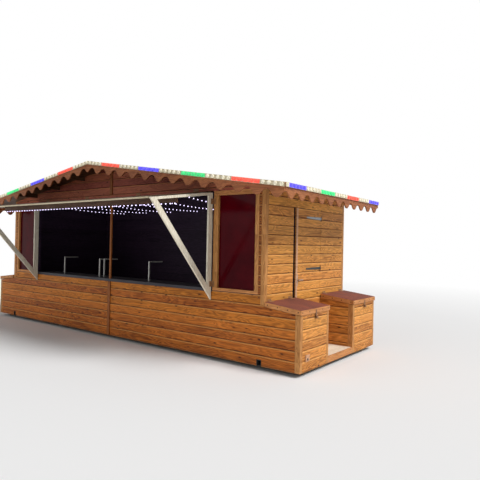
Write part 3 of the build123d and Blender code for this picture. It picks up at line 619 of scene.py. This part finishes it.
def add_cone(bm: Mesh, foot: Vector, outward: Vector, radii: tuple[float, float],
             height: float, sides: int) -> None:
    """Add a round shape that stands on its foot.

    Args:
        bm: Mesh to add to.
        foot: Middle of its foot.
        outward: Direction in which it stands.
        radii: Radius of its foot and of its top.
        height: Its height.
        sides: Number of its sides.
    """
    turn = UP.rotation_difference(outward).to_matrix().to_4x4()
    place = Matrix.Translation(foot + outward * height / 2) @ turn
    bmesh.ops.create_cone(bm, cap_ends=True, segments=sides, radius1=radii[0], radius2=radii[1],
                          depth=height, matrix=place)


def add_disc(bm: Mesh, foot: Vector, outward: Vector, radius: float,
             height: float = SCREW_RISE, sides: int = 8) -> None:
    """Add a low round head, a little narrower at its top, that stands on a face."""
    add_cone(bm, foot, outward, (radius, radius * SCREW_TAPER), height, sides)


def new_piece(name: str, bm: Mesh, finishes: Sequence[str], body: str,
              replaced: Sequence[str] = ()) -> Piece:
    """Make a finished piece of a mesh, dress it and tie it to a body.

    Args:
        name: Name of the piece.
        bm: Its mesh, which is freed.
        finishes: Finish of each material slot.
        body: CAD body that it rides on.
        replaced: CAD nodes that it stands for.

    Returns:
        The piece.
    """
    bmesh.ops.recalc_face_normals(bm, faces=bm.faces[:])
    mesh = stored(name, bm)
    for polygon in mesh.polygons:
        polygon.use_smooth = False
    piece = add_object(name, mesh)
    for item in finishes:
        mesh.materials.append(finish(item))
    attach(piece, body)
    if replaced:
        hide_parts(*replaced)
    LOG.info("%s: %d faces on %s", name, len(mesh.polygons), body)
    return piece


def body_of(node: str) -> str:
    """Return the CAD body of a node."""
    return frame["nodes"][node]["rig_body"]


@dataclass
class BoardedWall:
    """A CAD wall shown as level boards with chamfered seams in front of a dark backing of painted shade."""

    node: str
    side: Side
    boards: str
    lining: str = "painted_shade_lining"
    depth: float = 0.018
    seam: float = 0.005
    chamfer: float = 0.008
    keep: Optional[Callable[[Vector], bool]] = None
    min_board: float = 0.03

    def levels(self, low: float, high: float) -> list[float]:
        """Return the seam heights between two heights, and both ends.

        Args:
            low: Foot of the wall.
            high: Top of the wall.

        Returns:
            Heights from the foot to the top.
        """
        first = math.ceil((low + self.min_board - SEAM_START) / BOARD_PITCH)
        last = math.floor((high - self.min_board - SEAM_START) / BOARD_PITCH)
        return [low] + [SEAM_START + step * BOARD_PITCH for step in range(first, last + 1)] + [high]

    def mesh(self) -> Mesh:
        """Cut the node into boards and backing, and return the mesh."""
        outward = Vector(self.side.value)
        whole = merged_copy(self.node, self.keep)
        face = max(v.co.dot(outward) for v in whole.verts)
        low = min(v.co.z for v in whole.verts)
        high = max(v.co.z for v in whole.verts)
        behind = outward * (face - self.depth)
        result = bmesh.new()
        # The backing is painted shade, seen through the seams and on the inside
        backing = whole.copy()
        keep_side(backing, behind, outward)
        append(result, backing, 1)
        levels = self.levels(low, high)
        for foot, top in zip(levels, levels[1:]):
            board = whole.copy()
            keep_side(board, behind, -outward)
            if foot > low:
                keep_side(board, UP * (foot + self.seam / 2), -UP)
            if top < high:
                keep_side(board, UP * (top - self.seam / 2), UP)
            join_flat(board)
            cuts = (foot + self.seam / 2, top - self.seam / 2)

            def at_seam(edge: Edge) -> bool:
                """Tell whether an edge lies on the outer face at a seam."""
                a, b = (vert.co for vert in edge.verts)
                gaps = (a.z - b.z, min(abs(a.z - cut) for cut in cuts),
                        a.dot(outward) - face, b.dot(outward) - face)
                return all(abs(gap) < MERGE_DISTANCE for gap in gaps)

            soften(board, self.chamfer, pick=at_seam)
            append(result, board, 0)
        whole.free()
        return result

    def build(self, name: str, slot: str = "oiled_boards") -> Piece:
        """Make the wall's piece and return it."""
        finishes = (self.boards, self.lining)
        return new_piece(name, self.mesh(), finishes, body_of(self.node), (self.node,))


@dataclass
class Walls:
    """All boarded walls of the cabin and the boxes."""

    post_depth: float = 0.03

    def build(self) -> None:
        """Make each wall of one node, then the box walls that share one."""
        # The right side's boards carry painted light, and the other walls' boards painted shade
        for side, boards, nodes in (
            (Side.FRONT, "oiled_boards", ("front_wall",)),
            (Side.FRONT, "gable_boards", ("front_gable",)),
            (Side.FRONT, "strip_boards", ("corner_strips",)),
            (Side.REAR, "oiled_boards", ("rear_base_wall", "rear_wall")),
            (Side.RIGHT, "lit_right_boards", ("right_wall_front", "right_wall_rear", "right_wall_over_door")),
            (Side.LEFT, "oiled_boards", ("left_wall", "box_wall_left")),
        ):
            slot = "red_boards" if boards == "gable_boards" else "oiled_boards"
            for node in nodes:
                BoardedWall(node, side, boards).build(f"{node}_boards", slot)
        self.box_walls()

    def box_walls(self) -> None:
        """Make the right boxes' outer walls and the two that face the entry."""
        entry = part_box("entry_plate")
        centre_y = (entry[0].y + entry[1].y) / 2
        outer_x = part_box("box_posts")[1].x - self.post_depth
        result = bmesh.new()
        # The box walls by the entry get the lighter boards that carry painted light
        for side, keep in (
            (Side.RIGHT, lambda c: c.x > outer_x),
            (Side.REAR, lambda c: c.x < outer_x and c.y < centre_y),
            (Side.FRONT, lambda c: c.x < outer_x and c.y > centre_y),
        ):
            append(result, BoardedWall("box_walls_right", side, "lit_right_boards", keep=keep).mesh())
        finishes = ("lit_right_boards", "painted_shade_lining")
        new_piece("box_walls_right_boards", result, finishes, "hut", ("box_walls_right",))


@dataclass
class Door:
    """The side door: boards, and a pale batten along its free edge."""

    batten_width: float = 0.05
    batten_proud: float = 0.006
    batten_let_in: float = 0.004
    easing: float = 0.002

    def build(self) -> None:
        """Make the boarded leaf and the batten on its free edge."""
        # The door's boards carry painted light, like the right wall's
        BoardedWall("door", Side.RIGHT, "lit_right_boards").build("door_boards")
        low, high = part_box("door")
        near = (high.x - self.batten_let_in, low.y, low.z)
        far = (high.x + self.batten_proud, low.y + self.batten_width, high.z)
        eased_box("door_edge_batten", near, far, self.easing, "door")


def softened(node: str, name: str, finishes: Sequence[str], offset: float = 0.002,
             slot_of: Optional[SlotOf] = None) -> Piece:
    """Show a CAD node as a copy with eased edges.

    Args:
        node: Name of the node.
        name: Name of the new piece.
        finishes: Finish of each material slot.
        offset: Width of the eased edges.
        slot_of: Gives a face's slot from its normal and its centre.

    Returns:
        The new piece.
    """
    bm = merged_copy(node)
    bmesh.ops.recalc_face_normals(bm, faces=bm.faces[:])
    if slot_of:
        for face in bm.faces:
            face.material_index = slot_of(face.normal, face.calc_center_median())
    soften(bm, offset)
    return new_piece(name, bm, finishes, body_of(node), (node,))


@dataclass
class Joinery:
    """Posts, frames, boards and brackets with eased edges.

    The panel frames have a board of the height sill_board below a groove of the size sill_gap, and
    their faces within reveal_depth of the opening are dark with painted shade.
    """

    sill_board: float = 0.043
    sill_gap: float = 0.01
    reveal_depth: float = 0.01

    def build(self) -> None:
        """Make each softened timber piece."""
        for finish_name, slot, offset, nodes in (
            ("light_timber", "light_timber", 0.003, ("cabin_corner_posts", "box_posts")),
            # The opening post and the middle battens get the darker copy with painted shade
            ("shaded_front_timber", "light_timber", 0.003, ("opening_post", "middle_battens")),
            ("light_rail", "oiled_boards", 0.003, ("entry_board",)),
            ("cream_timber", "cream_timber", 0.003, ("bracket_right", "bracket_left")),
            ("grey_counter", "grey_counter", 0.003, ("counter",)),
            ("scallop_wood", "scallop_wood", 0.0015, ("verge_boards", "eave_boards")),
            # The flap's dark brown is partly stain and partly painted shade
            ("flap_stain_and_shade", "cream_timber", 0.002, ("flap_cross_rails", "light_rail", "flap_panel")),
        ):
            for node in nodes:
                softened(node, f"{node}_eased", (finish_name,), offset)
        painted = ("cream_rail", "flap_stain_and_shade")
        softened("flap_long_rails", "flap_long_rails_eased", painted, slot_of=self.flap_slot)
        straps = ("dark_steel", "galvanised")
        softened("door_straps", "door_straps_eased", straps, 0.0005, self.strap_slot)
        self.panel_frames()
        covered = ("roof_felt", "roof_timber")
        softened("roof_boards", "roof_covered", covered, slot_of=self.roof_slot)

    @staticmethod
    def strap_slot(normal: Vector, centre: Vector) -> int:
        """Leave the top strap bare and the lower ones dark."""
        return 1 if centre.z > BARE_STRAP_FROM else 0

    @staticmethod
    def flap_slot(normal: Vector, centre: Vector) -> int:
        """Put the cream paint on the outer edges, and on the rest a dark brown that is partly stain and
        partly painted shade.
        """
        outer_edge = normal.y < -FACING and centre.y < FLAP_PAINT_FROM
        return 0 if outer_edge or abs(normal.x) > FACING or normal.z > FACING else 1

    def panel_frames(self) -> None:
        """Make the frames: upright stiles, level rails, a board below, and painted shade on the faces by the
        opening, inside and in the groove.
        """
        reveal_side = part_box("counter")[1].x + self.reveal_depth
        low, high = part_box("panels")
        bm = merged_copy("panel_frames")
        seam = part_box("panel_frames")[0].z + self.sill_board
        for level in (low.z, high.z, seam, seam + self.sill_gap):
            geometry = bm.verts[:] + bm.edges[:] + bm.faces[:]
            bmesh.ops.bisect_plane(bm, geom=geometry, plane_co=UP * level, plane_no=UP)
        bmesh.ops.recalc_face_normals(bm, faces=bm.faces[:])
        for face in bm.faces:
            centre = face.calc_center_median()
            beside_opening = abs(face.normal.x) > FACING and abs(centre.x) < reveal_side
            # Painted shade on the inside faces and on the reveals beside the opening
            if face.normal.y > FACING or beside_opening:
                face.material_index = 2
            elif centre.z < seam:
                face.material_index = 3
            else:
                face.material_index = int(not low.z < centre.z < high.z)
        # Painted shade in the sunk groove
        groove = [f for f in bm.faces
                  if f.normal.y < -FACING and seam < f.calc_center_median().z < seam + self.sill_gap]
        for face in groove:
            face.material_index = 2
        sunk = bmesh.ops.extrude_face_region(bm, geom=groove)["geom"]
        sunk_verts = [item for item in sunk if isinstance(item, Vert)]
        bmesh.ops.translate(bm, verts=sunk_verts, vec=(0.0, self.sill_gap, 0.0))
        bmesh.ops.delete(bm, geom=[f for f in groove if f.is_valid], context="FACES_ONLY")
        finishes = ("light_timber", "light_rail", "painted_shade_lining", "oiled_boards")
        new_piece("panel_frames_eased", bm, finishes, "hut", ("panel_frames",))

    @staticmethod
    def roof_slot(normal: Vector, centre: Vector) -> int:
        """Put felt on top and timber below."""
        return 0 if normal.z > FACING else 1


@dataclass
class Lids:
    """Storage lids: felt on top, light edge boards, and screws in their faces, their slope in degrees."""

    screw_pitch: float = 0.16
    screw_radius: float = 0.009
    screw_drop: float = 0.033
    end_margin: float = 0.04
    end_screws: int = 4
    end_share: float = 0.08
    slope: float = 6.3

    def build(self) -> None:
        """Make the three lids."""
        for name in ("right_front", "right_rear", "left"):
            node = f"lid_{name}"
            finishes = ("lid_felt", "light_rail", "dark_timber")
            softened(node, f"{node}_covered", finishes, slot_of=self.lid_slot)
            self.screws(node)

    @staticmethod
    def lid_slot(normal: Vector, centre: Vector) -> int:
        """Put felt on top, light timber on the sides and dark timber below."""
        if normal.z > FACING:
            return 0
        return 2 if normal.z < -FACING else 1

    def screws(self, node: str) -> None:
        """Set a row of screws along the outer and the end faces of a lid."""
        low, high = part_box(node)
        side = 1 if high.x > 0 else -1
        outer, inner = (high.x, low.x) if side > 0 else (low.x, high.x)
        bm = bmesh.new()
        fall = math.tan(math.radians(self.slope))
        count = max(3, round((high.y - low.y) / self.screw_pitch))
        for index in range(count):
            y = low.y + self.end_margin + (high.y - low.y - 2 * self.end_margin) * index / (count - 1)
            foot = Vector((outer, y, low.z + self.screw_drop))
            add_disc(bm, foot, RIGHT * side, self.screw_radius)
        for face_y, outward in ((low.y, FRONT), (high.y, REAR)):
            for index in range(self.end_screws):
                share = self.end_share + (1 - 2 * self.end_share) * index / (self.end_screws - 1)
                x = inner + (outer - inner) * share
                z = high.z - abs(x - inner) * fall - self.screw_drop
                add_disc(bm, Vector((x, face_y, z)), outward, self.screw_radius)
        new_piece(f"{node}_screws", bm, ("screw_head",), body_of(node))


@dataclass
class WallScrews:
    """Two screws in each board of the narrow strips beside the corner posts."""

    radius: float = 0.008
    from_seam: float = 0.034
    from_side: float = 0.022
    end_margin: float = 0.01

    def build(self) -> None:
        """Make all the screws as one piece."""
        low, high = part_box("corner_strips")
        bm = bmesh.new()
        first = math.ceil((low.z - SEAM_START) / BOARD_PITCH) - 1
        last = math.floor((high.z - SEAM_START) / BOARD_PITCH)
        for step in range(first, last + 1):
            seam = SEAM_START + step * BOARD_PITCH
            for z in (seam + self.from_seam, seam + BOARD_PITCH - self.from_seam):
                if low.z + self.end_margin < z < high.z - self.end_margin:
                    for x in (high.x - self.from_side, low.x + self.from_side):
                        add_disc(bm, Vector((x, low.y, z)), FRONT, self.radius)
        new_piece("strip_screws", bm, ("screw_head",), "hut")


@dataclass
class CableOutlet:
    """A small wooden surround with a dark hole, low on the side of the right front box."""

    place: tuple[float, float] = (-1.02, 0.235)
    size: tuple[float, float] = (0.1, 0.085)
    thickness: float = 0.012
    easing: float = 0.003
    hole_radius: float = 0.018
    hole_rise: float = 0.0006
    hole_sides: int = 16

    def build(self) -> None:
        """Make the surround and its hole."""
        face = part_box("box_walls_right")[1].x
        y, z = self.place
        half_y, half_z = self.size[0] / 2, self.size[1] / 2
        far = (face + self.thickness, y + half_y, z + half_z)
        eased_box("cable_outlet_surround", (face, y - half_y, z - half_z), far, self.easing, "hut")
        bm = bmesh.new()
        foot = Vector((face + self.thickness, y, z - half_z / 3))
        add_disc(bm, foot, RIGHT, self.hole_radius, self.hole_rise, self.hole_sides)
        new_piece("cable_outlet_hole", bm, ("dark_rubber",), "hut")


@dataclass
class EdgeLamps:
    """Coloured lamp caps in a row on the rails of the front slopes and the eaves.

    A step of dome is a start, a height, a foot's width and a top's width, as shares of the cap's own.
    """

    slope_step: float = 0.0889
    slope_count: int = 43
    eave_step: float = 0.0803
    eave_count: int = 36
    eave_start: float = 0.04
    radius: float = 0.026
    height: float = 0.018
    housing: tuple[float, float] = (0.08, 0.05)
    housing_depth: float = 0.006
    easing: float = 0.002
    sides: int = 12
    dome: tuple = ((0.0, 0.45, 1.0, 1.0), (0.45, 0.35, 1.0, 0.82), (0.8, 0.2, 0.82, 0.45))
    group: int = 5
    colours: tuple[str, ...] = ("white", "red", "blue", "green")
    slope_order: str = "wrwbwgwrw"
    eave_order: str = "wbwgwrwb"

    def rail(self, node: str, *ways: Vector) -> None:
        """Show a rail as a thinner one, so that the caps stand inside the CAD rail.

        Args:
            node: CAD node of the rail.
            ways: Faces that look these ways are brought back by the caps' height.
        """
        bm = merged_copy(node)
        bmesh.ops.recalc_face_normals(bm, faces=bm.faces[:])
        for way in ways:
            verts = {v for f in bm.faces if f.normal.dot(way) > SQUARE_ON for v in f.verts}
            bmesh.ops.translate(bm, verts=list(verts), vec=-way * self.height)
        soften(bm, self.easing)
        new_piece(f"{node}_eased", bm, ("cream_rail",), "hut", (node,))

    def spots(self) -> Iterator[tuple[str, Vector, Vector, Vector]]:
        """Yield each cap's colour letter, its foot, its rail's direction and its own."""
        low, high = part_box("lamp_rail_front")
        side_low, side_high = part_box("lamp_rails_side")
        rail_middle = (side_high.z - side_low.z) / 2
        fall = (high.z - side_high.z) / high.x
        for index in range(self.slope_count + 1):
            reach = index * self.slope_step
            for mirror in (1, -1)[:1 if index == 0 else 2]:
                foot = Vector((mirror * reach, low.y + self.height, high.z - reach * fall - rail_middle))
                yield self.slope_order[index // self.group], foot, Vector((mirror, 0, -fall)), FRONT
        for index in range(self.eave_count):
            y = side_low.y + self.eave_start + index * self.eave_step
            for x, outward in ((side_high.x, RIGHT), (side_low.x, LEFT)):
                foot = Vector((x, y, side_high.z - rail_middle)) - outward * self.height
                yield self.eave_order[(index + self.group - 1) // self.group], foot, FRONT, outward

    def housing_box(self, bm: Mesh, foot: Vector, along: Vector, outward: Vector) -> None:
        """Add the flat coloured housing that a coloured cap stands on.

        Args:
            bm: Mesh to add to.
            foot: Middle of the cap's foot on the rail.
            along: Direction of the rail.
            outward: Direction in which the cap stands.
        """
        length, width = self.housing
        across = outward.cross(along.normalized())
        depth = outward * self.housing_depth
        axes = Matrix((along.normalized() * length, across * width, depth)).transposed()
        place = Matrix.Translation(foot + outward * self.housing_depth / 2) @ axes.to_4x4()
        bmesh.ops.create_cube(bm, size=1.0, matrix=place)

    def cap(self, bm: Mesh, foot: Vector, outward: Vector) -> None:
        """Add one domed cap.

        Args:
            bm: Mesh to add to.
            foot: Middle of its foot on the rail.
            outward: Direction in which it stands.
        """
        for start, depth, width, top in self.dome:
            add_cone(bm, foot + outward * self.height * start, outward,
                     (self.radius * width, self.radius * top), self.height * depth, self.sides)

    def build(self) -> None:
        """Make the rails, and one piece for each colour of cap."""
        self.rail("lamp_rail_front", FRONT)
        self.rail("lamp_rails_side", RIGHT, LEFT)
        meshes = {colour: bmesh.new() for colour in self.colours}
        for letter, foot, along, outward in self.spots():
            colour = next(c for c in self.colours if c[0] == letter)
            self.cap(meshes[colour], foot, outward)
            if colour != "white":
                self.housing_box(meshes[colour], foot, along, outward)
        for colour, bm in meshes.items():
            new_piece(f"lamp_{colour}_caps", bm, (f"lamp_{colour}",), "hut")


@dataclass
class LightStrings:
    """Cords with tiny lights: one held along the flap's light rail, and taut ones under the roof.

    The roof's hang from hook_rise over the gable's foot to rear_drop below it, row_pitch apart.
    """

    rail_radius: float = 0.01
    rail_pitch: float = 0.088
    rail_seat: float = 0.0002
    from_rail_edge: float = 0.004
    end_inset: float = 0.03
    roof_radius: float = 0.011
    roof_pitch: float = 0.105
    cord_radius: float = 0.002
    cord_sides: int = 6
    first_row: float = -2.525
    row_pitch: float = 0.805
    row_count: int = 6
    hook_rise: float = 0.011
    rear_drop: float = 0.078
    sag: float = 0.045
    route_points: int = 7

    @staticmethod
    def lights(name: str, line: Sequence[Vector], radius: float, pitch: float, body: str) -> Piece:
        """Make the lights of one string, evenly spaced along its line.

        Args:
            name: Name of the piece.
            line: Points that the string follows.
            radius: Radius of a light.
            pitch: Rough distance between lights.
            body: CAD body that they ride on.

        Returns:
            The piece.
        """
        spans = [(b - a).length for a, b in zip(line, line[1:])]
        count = max(2, round(sum(spans) / pitch))
        bm = bmesh.new()
        for index in range(count + 1):
            left, part = sum(spans) * index / count, 0
            while part < len(spans) - 1 and left > spans[part]:
                left -= spans[part]
                part += 1
            place = Matrix.Translation(line[part].lerp(line[part + 1], min(1.0, left / spans[part])))
            bmesh.ops.create_icosphere(bm, subdivisions=1, radius=radius, matrix=place)
        return new_piece(name, bm, ("string_light",), body)

    def route(self, x: float) -> list[Vector]:
        """Return the points of a taut string, with its sag, from the gable to the rear wall."""
        gable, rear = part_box("front_gable"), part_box("rear_wall")
        start = Vector((x, gable[1].y, gable[0].z + self.hook_rise))
        end = Vector((x, rear[0].y, gable[0].z - self.rear_drop))
        shares = [index / (self.route_points - 1) for index in range(self.route_points)]
        return [start.lerp(end, share) - UP * 4 * self.sag * share * (1 - share) for share in shares]

    def roof_string(self, name: str, route: Sequence[Vector]) -> None:
        """Args:
            name: Name of the cord.
            route: Control points of its curve.
        """
        data = bpy.data.curves.new(name, "CURVE")
        data.dimensions = "3D"
        data.resolution_u = 4
        spline = data.splines.new("NURBS")
        spline.points.add(len(route) - 1)
        for point, place in zip(spline.points, route):
            point.co = (*place, 1.0)
        spline.order_u = 3
        spline.use_endpoint_u = True
        cord = add_object(name, data)
        traced = bpy.data.meshes.new_from_object(cord)
        line = [vert.co.copy() for vert in traced.vertices]
        bpy.data.meshes.remove(traced)
        data.bevel_depth = self.cord_radius
        data.bevel_resolution = 1
        data.materials.append(finish("dark_rubber"))
        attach(cord, "hut")
        lights = self.lights(f"{name}_lights", line, self.roof_radius, self.roof_pitch, "hut")

    def rail_string(self) -> None:
        """Make the string under the flap's light rail, its cord and lights against the rail."""
        low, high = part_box("light_rail")
        y = low.y + self.from_rail_edge
        left, right = low.x + self.end_inset, high.x - self.end_inset
        level = low.z - self.rail_radius + self.rail_seat
        self.lights("flap_string_lights", (Vector((left, y, level)), Vector((right, y, level))),
                    self.rail_radius, self.rail_pitch, "flap")
        level = low.z - self.cord_radius + self.rail_seat
        bm = bmesh.new()
        radii = (self.cord_radius, self.cord_radius)
        add_cone(bm, Vector((left, y, level)), RIGHT, radii, right - left, self.cord_sides)
        new_piece("flap_string_cord", bm, ("dark_rubber",), "flap")

    def build(self) -> None:
        """Make the flap's string and each string under the roof."""
        self.rail_string()
        for index in range(self.row_count):
            self.roof_string(f"roof_string_{index + 1}", self.route(self.first_row + index * self.row_pitch))


@dataclass
class PlainNodes:
    """Finishes of the CAD nodes that are shown as they are."""

    finishes: tuple[tuple[str, str], ...] = (
        ("dark_rubber", "feet"), ("dark_steel", "base_rails base_joists fork_tubes"),
        ("deck_wood", "floor_deck"), ("cream_paint", "entry_plate"), ("roof_timber", "purlins"),
        ("red_gloss", "panels"), ("bright_tube", "counter_stands"), ("dark_timber", "door_frame"),
        ("bright_handle", "door_handle"), ("dark_flashing", "ridge_cap"),
        ("hinge_steel", "flap_hinges bracket_hinges_right bracket_hinges_left hinge_plates"),
        ("hinge_steel", "lid_fittings_right_front lid_fittings_right_rear lid_fittings_left"),
    )

    def build(self) -> None:
        """Give each node its finish, and a replaced one, which is hidden, light timber."""
        plain = {node: finish_name for finish_name, nodes in self.finishes for node in nodes.split()}
        for name, node in frame["nodes"].items():
            node.data.materials.clear()
            node.data.materials.append(finish(plain.get(name, "light_timber")))
            LOG.info("%s: %s", name, plain.get(name, "hidden"))


@dataclass
class Studio:
    """Floor, light and camera, with its angles in degrees."""

    lens: float = 35.82
    place: tuple[float, float, float] = (6.834, -6.457, 1.685)
    yaw: float = 37.2607
    pitch: float = 0.46277
    roll: float = 1.16768
    ambient: float = 0.31
    suns: tuple = (("key", (0.85, 0.06, 0.95), 2.6, 0.45), ("fill", (-0.35, -0.9, 0.4), 0.42, 0.9))
    floor_size: float = 60.0
    floor_tone: float = 0.86
    floor_fade: tuple[float, float] = (7.0, 16.0)

    def build(self) -> None:
        """Make the studio."""
        self.floor()
        self.world()
        for sun in self.suns:
            self.sun(*sun)
        self.camera()

    def floor(self) -> None:
        """Make a pale floor that fades into the white background."""
        bm = bmesh.new()
        bmesh.ops.create_grid(bm, x_segments=1, y_segments=1, size=self.floor_size)
        floor = add_object("studio_floor", stored("studio_floor", bm))
        material = bpy.data.materials.new("studio_floor")
        nodes = empty_nodes(material)
        tone = self.floor_tone
        place = nodes.add("TexCoord").outputs["Object"]
        distance = nodes.add("VectorMath", {0: place}, operation="LENGTH").outputs["Value"]
        diffuse = nodes.add("BsdfDiffuse", {"Color": (tone, tone, tone, 1.0)})
        white = nodes.add("Emission", {"Color": (1, 1, 1, 1), "Strength": 1.0})
        fade = nodes.span(distance, *self.floor_fade)
        blend = nodes.add("MixShader", {0: fade, 1: diffuse.outputs[0], 2: white.outputs[0]})
        nodes.add("OutputMaterial", {"Surface": blend.outputs[0]})
        floor.data.materials.append(material)

    def world(self) -> None:
        """Light the scene from all round, and show white behind it."""
        world = bpy.data.worlds.new("studio")
        nodes = empty_nodes(world)
        path = nodes.add("LightPath")
        seen = nodes.math("MAXIMUM", path.outputs["Is Camera Ray"], path.outputs["Is Glossy Ray"])
        seen = nodes.math("MAXIMUM", seen, path.outputs["Is Transmission Ray"])
        strength = nodes.span(seen, 0.0, 1.0, self.ambient, 1.0)
        background = nodes.add("Background", {"Color": (1, 1, 1, 1), "Strength": strength})
        nodes.add("OutputWorld", {"Surface": background.outputs[0]})
        bpy.context.scene.world = world

    def sun(self, name: str, origin: Sequence[float], strength: float, angle: float) -> None:
        """Add a soft sun that shines from a direction.

        Args:
            name: Name of the light.
            origin: Direction that it comes from.
            strength: Its strength.
            angle: Its angular size in radians.
        """
        data = bpy.data.lights.new(name, "SUN")
        data.energy = strength
        data.angle = angle
        light = add_object(name, data)
        light.rotation_mode = "QUATERNION"
        light.rotation_quaternion = UP.rotation_difference(Vector(origin).normalized())

    def camera(self) -> None:
        """Set the camera where the photograph's perspective puts it."""
        matrix = Matrix.Translation(self.place)
        for degrees, axis in ((self.yaw, "Z"), (90 + self.pitch, "X"), (self.roll, "Z")):
            matrix @= Matrix.Rotation(math.radians(degrees), 4, axis)
        data = bpy.data.cameras.new("camera")
        data.lens = self.lens
        data.sensor_width = 36.0
        camera = add_object("camera", data)
        camera.matrix_world = matrix
        bpy.context.scene.camera = camera


def main() -> None:
    """Build every piece of the hut and the studio round it."""
    logging.basicConfig(level=logging.INFO, format="%(message)s")
    scene = bpy.context.scene
    scene.view_settings.view_transform = "Standard"
    for part in (PlainNodes, Walls, Door, Joinery, Lids, WallScrews, CableOutlet, EdgeLamps, LightStrings,
                 Studio):
        part().build()


if __name__ == "__main__":
    main()
